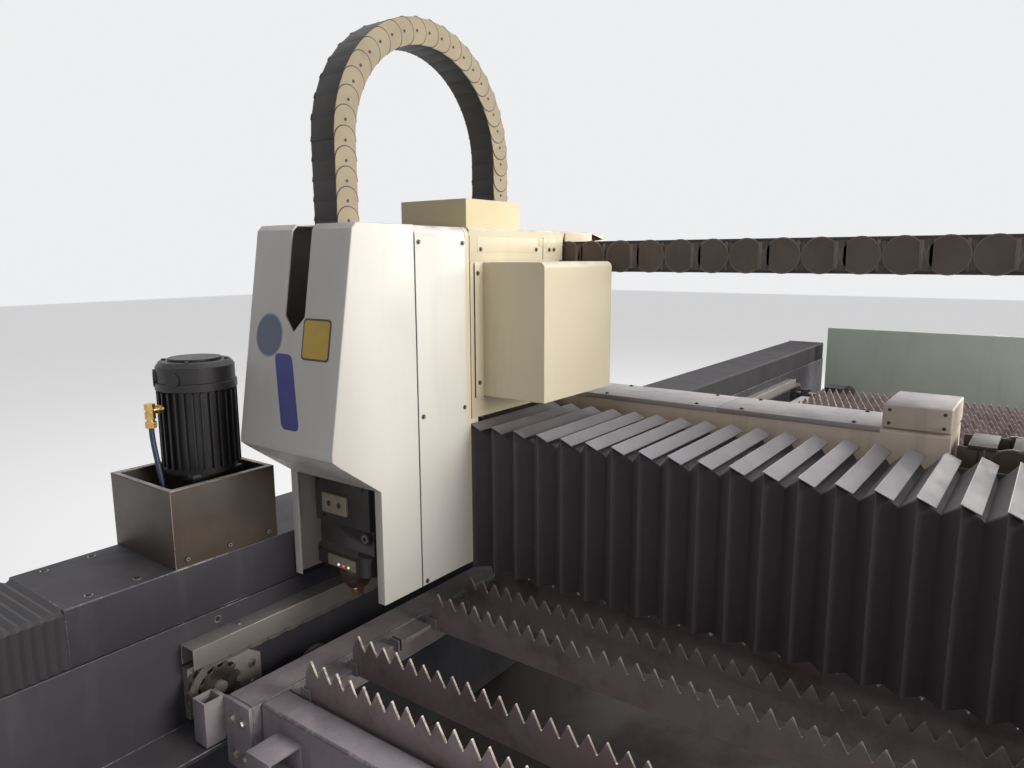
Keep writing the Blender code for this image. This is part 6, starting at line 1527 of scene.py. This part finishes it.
block(bm, (SIDE_BOX_X[0] - 0.0015, SIDE_BOX_X[1]),
      (COVER_NEAR_Y - 0.0020, COVER_NEAR_Y - 0.0004), (SIDE_BOX_Z[0] - 0.0014, SIDE_BOX_Z[0]))
new_piece("side_box_seal", bm, (seal_black,), "carriage")


# The chain box on the arm: folded sheet, sprayed cream, screwed down from inside. It holds the
# arched chain's fixed end, and the chain stands in its open well.
box_cream = painted(
    "box_cream", (0.69, 0.59, 0.36), (0.62, 0.53, 0.325), rough=0.36, mottle=3.0, skin=1100.0,
    dust=((0.50, 0.47, 0.44), 0.5), grime=((0.52, 0.42, 0.28), 0.3))
softened("chain_box", (box_cream,), "carriage", 0.0022, 3)


# The arched cable chain: moulded links with beige side plates, each rounded end lapped over the
# next, and cross bars on both faces of the arch in near black, painted shade over their own dark
# colour. It rises at half the head's speed.
ARCH_LEFT_X = -2.038
ARCH_RIGHT_X = -1.476
ARCH_CENTRE_Z = 1.904
ARCH_LEFT_END_Z = 1.4717
ARCH_RIGHT_END_Z = 1.735
ARCH_Y = 1.149
ARCH_HALF_WIDTH = 0.040
ARCH_HALF_DEPTH = 0.0315
ARCH_LINKS = (10, 20, 4)
LAP = 0.030                  # how steeply a side plate leans out over the next one
# How far the painted shadow round each side plate's end reaches past it.
LAP_SHADOW_WIDTH = 0.0022
ARCH_PLATE = 0.0022
ARCH_BAR = 0.0050
chain_beige = painted(
    "chain_beige", (0.335, 0.275, 0.180), (0.285, 0.235, 0.152), rough=0.48, mottle=14.0,
    skin=1200.0, dust=((0.24, 0.21, 0.165), 0.4), grime=((0.20, 0.165, 0.115), 0.5))
# Near black as painted shade: on the cross bars, over their own dark colour, in the pin holes,
# behind the side plates and round each plate's end.
chain_black_and_shade = painted(
    "chain_black_and_shade", (0.012, 0.009, 0.008), (0.018, 0.014, 0.012), rough=0.5, mottle=9.0,
    skin=1200.0, dust=((0.06, 0.05, 0.045), 0.4))


def arch_place(x, z, turn):
    """A link's place in the XZ plane: turn 0 climbs the left leg, pi goes down the right one."""
    along = Vector((math.sin(turn), 0, math.cos(turn)))
    outward = Vector((-math.cos(turn), 0, math.sin(turn)))
    return link_matrix((x, ARCH_Y, z), along, outward)


def arch_link(bm, length, bend):
    """Two lapped side plates, a painted shadow round each one's end, and one link's two cross bars.
    """
    radius = ARCH_HALF_DEPTH - 0.0010
    for side in (-1, 1):
        face_y = side * (ARCH_HALF_WIDTH - 0.0034)
        shape = rounded_outline(length, radius, 10, both=False)
        plate(bm, [(u, face_y + side * LAP * u, v) for u, v in shape], (0, side * ARCH_PLATE, 0), 0)
        # A painted shadow: a near-black plate a little wider than the round end, just under it,
        # that shows as a dark line where the plate laps the next.
        lap_shadow = rounded_outline(length, radius + LAP_SHADOW_WIDTH, 10, both=False)
        plate(bm, [(u, face_y + side * (LAP * u + 0.0006), v)
                   for u, v in lap_shadow if u > length / 2 - 1e-6], (0, side * 0.0011, 0), 1)
        rod(bm, (length / 2, face_y + side * (LAP * length / 2 + 0.0021), 0), "Y", 0.0036, 0.0014,
            10, 1)
        block(bm, (-length * 0.5, length * 0.5),
              sorted((face_y - side * 0.0010, face_y - side * 0.005)), (-radius, radius), 1)
    half_bar = ARCH_HALF_WIDTH - 0.0036
    for v, grow in ((-ARCH_HALF_DEPTH, 0.505), (ARCH_HALF_DEPTH - ARCH_BAR, 0.505 + bend)):
        block(bm, (-length * grow, length * grow), (-half_bar, half_bar), (v, v + ARCH_BAR), 1,
              0.0008)


left, round_links, right = ARCH_LINKS
arch_radius = (ARCH_RIGHT_X - ARCH_LEFT_X) / 2
arch_middle_x = (ARCH_RIGHT_X + ARCH_LEFT_X) / 2
left_pitch = (ARCH_CENTRE_Z - ARCH_LEFT_END_Z) / left
right_pitch = (ARCH_CENTRE_Z - ARCH_RIGHT_END_Z) / right
bm = bmesh.new()
for i in range(left):
    reach = left_pitch - (0.004 if i == 0 else 0.0)
    stamped(bm, small_part(arch_link, reach, 0.0),
            arch_place(ARCH_LEFT_X, ARCH_LEFT_END_Z + (i + 0.5) * left_pitch, 0.0))
for i in range(round_links):
    turn = math.pi * (i + 0.5) / round_links
    stamped(bm, small_part(arch_link, math.pi * arch_radius / round_links, 0.055),
            arch_place(arch_middle_x - arch_radius * math.cos(turn),
                       ARCH_CENTRE_Z + arch_radius * math.sin(turn), turn))
for i in range(right - 1):
    stamped(bm, small_part(arch_link, right_pitch, 0.0),
            arch_place(ARCH_RIGHT_X, ARCH_CENTRE_Z - (i + 0.5) * right_pitch, math.pi))
half_width = ARCH_HALF_WIDTH - 0.0040
block(bm, (ARCH_RIGHT_X - ARCH_HALF_DEPTH + 0.002, ARCH_RIGHT_X + ARCH_HALF_DEPTH - 0.002),
      (ARCH_Y - half_width, ARCH_Y + half_width),
      (ARCH_RIGHT_END_Z, ARCH_RIGHT_END_Z + right_pitch), 1, 0.001)
arch = new_piece("arch_chain_links", bm, (chain_beige, chain_black_and_shade), "z_chain", 30.0)
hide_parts("arch_cable_chain")


# The cutting head on its Z slide: an anodised aluminium housing with a pull-out lens drawer, a
# strip of signal lamps at its foot, a turned sensor skirt and a copper nozzle.
HEAD_FRONT_X = -2.060
HEAD_Y = (1.0545, 1.2445)
HEAD_BOTTOM = 0.905
DRAWER_HOLE_Y = (1.1510, 1.1870)
LAMP_Y = (1.164, 1.146, 1.129)
BOSS_Z = 0.9990
HEAD_SCREWS = ((1.232, 1.118), (1.075, 1.118), (1.232, 0.944), (1.215, 1.030))
head_charcoal = painted(
    "head_charcoal", (0.042, 0.033, 0.035), (0.062, 0.052, 0.053), rough=0.38, mottle=14.0,
    skin=1200.0, dust=((0.17, 0.145, 0.135), 0.4), grime=((0.075, 0.064, 0.06), 0.6))
drawer_beige = painted(
    "drawer_beige", (0.42, 0.355, 0.285), (0.36, 0.305, 0.245), rough=0.40, mottle=14.0,
    skin=1200.0, dust=((0.30, 0.26, 0.21), 0.3), grime=((0.20, 0.165, 0.13), 0.5))
skirt_brown = metal(
    "skirt_brown", (0.10, 0.066, 0.058), oxide=((0.050, 0.034, 0.030), 0.7), patches=40.0,
    rough=0.42, metallic=0.3)
nozzle_copper = metal(
    "nozzle_copper", (0.60, 0.30, 0.16), oxide=((0.30, 0.15, 0.09), 0.6), patches=60.0, rough=0.25,
    metallic=1.0)
softened("z_plate", (bare_steel,), "head", 0.002)
softened("head_housing", (head_charcoal,), "head", 0.003, 3)
softened("lens_drawer", (drawer_beige,), "head", 0.0006)
softened("sensor_skirt", (skirt_brown,), "head", 0.0012)
softened("nozzle", (nozzle_copper,), "head", 0.0006)
bm = bmesh.new()
for y in DRAWER_HOLE_Y:
    rod(bm, (-2.0676, y, 1.0665), "X", 0.0070, 0.0010, 20)
new_piece("drawer_holes", bm, (seal_black,), "head")
bm = bmesh.new()
block(bm, (HEAD_FRONT_X - 0.0040, HEAD_FRONT_X + 0.001), (1.105, 1.203),
      (HEAD_BOTTOM + 0.002, HEAD_BOTTOM + 0.030), 0, 0.0012)
new_piece("lamp_strip", bm, (drawer_beige,), "head")


def lamp(name, color, strength):
    """A small lit lens: coloured plastic with a soft glow, brighter in the middle of its noise."""
    mat = painted(
        name, color, tuple(0.85 * part for part in color), rough=0.25, mottle=60.0, skin=900.0,
        dust=(color, 0.0))
    shader = mat.node_tree.nodes["Principled BSDF"]
    effect = shader.inputs["Base Color"].links[0].from_socket
    mat.node_tree.links.new(effect, shader.inputs["Emission Color"])
    shader.inputs["Emission Strength"].default_value = strength
    return mat


bm = bmesh.new()
for number, y in enumerate(LAMP_Y):
    rod(bm, (HEAD_FRONT_X - 0.0046, y, HEAD_BOTTOM + 0.010), "X", 0.0026, 0.0022, 12, number)
new_piece("signal_lamps", bm, (
    lamp("lamp_white", (0.85, 0.85, 0.80), 1.6), lamp("lamp_red", (0.75, 0.06, 0.04), 1.6),
    lamp("lamp_green", (0.45, 0.80, 0.25), 1.6)), "head")
bm = bmesh.new()
for dx, radius, length, sides, number in ((0.010, 0.0150, 0.022, 28, 0),
                                          (-0.0012, 0.0105, 0.0016, 24, 1),
                                          (-0.0024, 0.0050, 0.0012, 12, 2)):
    rod(bm, (HEAD_FRONT_X + dx, HEAD_Y[0] + 0.0168, BOSS_Z), "X", radius, length, sides, number)
rod(bm, (HEAD_FRONT_X + 0.016, HEAD_Y[0] + 0.024, 0.930), "Z", 0.026, 0.050, 28, 0)
for y, z in HEAD_SCREWS:
    rod(bm, (HEAD_FRONT_X - 0.0006, y, z), "X", 0.0040, 0.0024, 12, 2)
new_piece("head_fittings", bm, (head_charcoal, screw_steel, screw_black), "head")
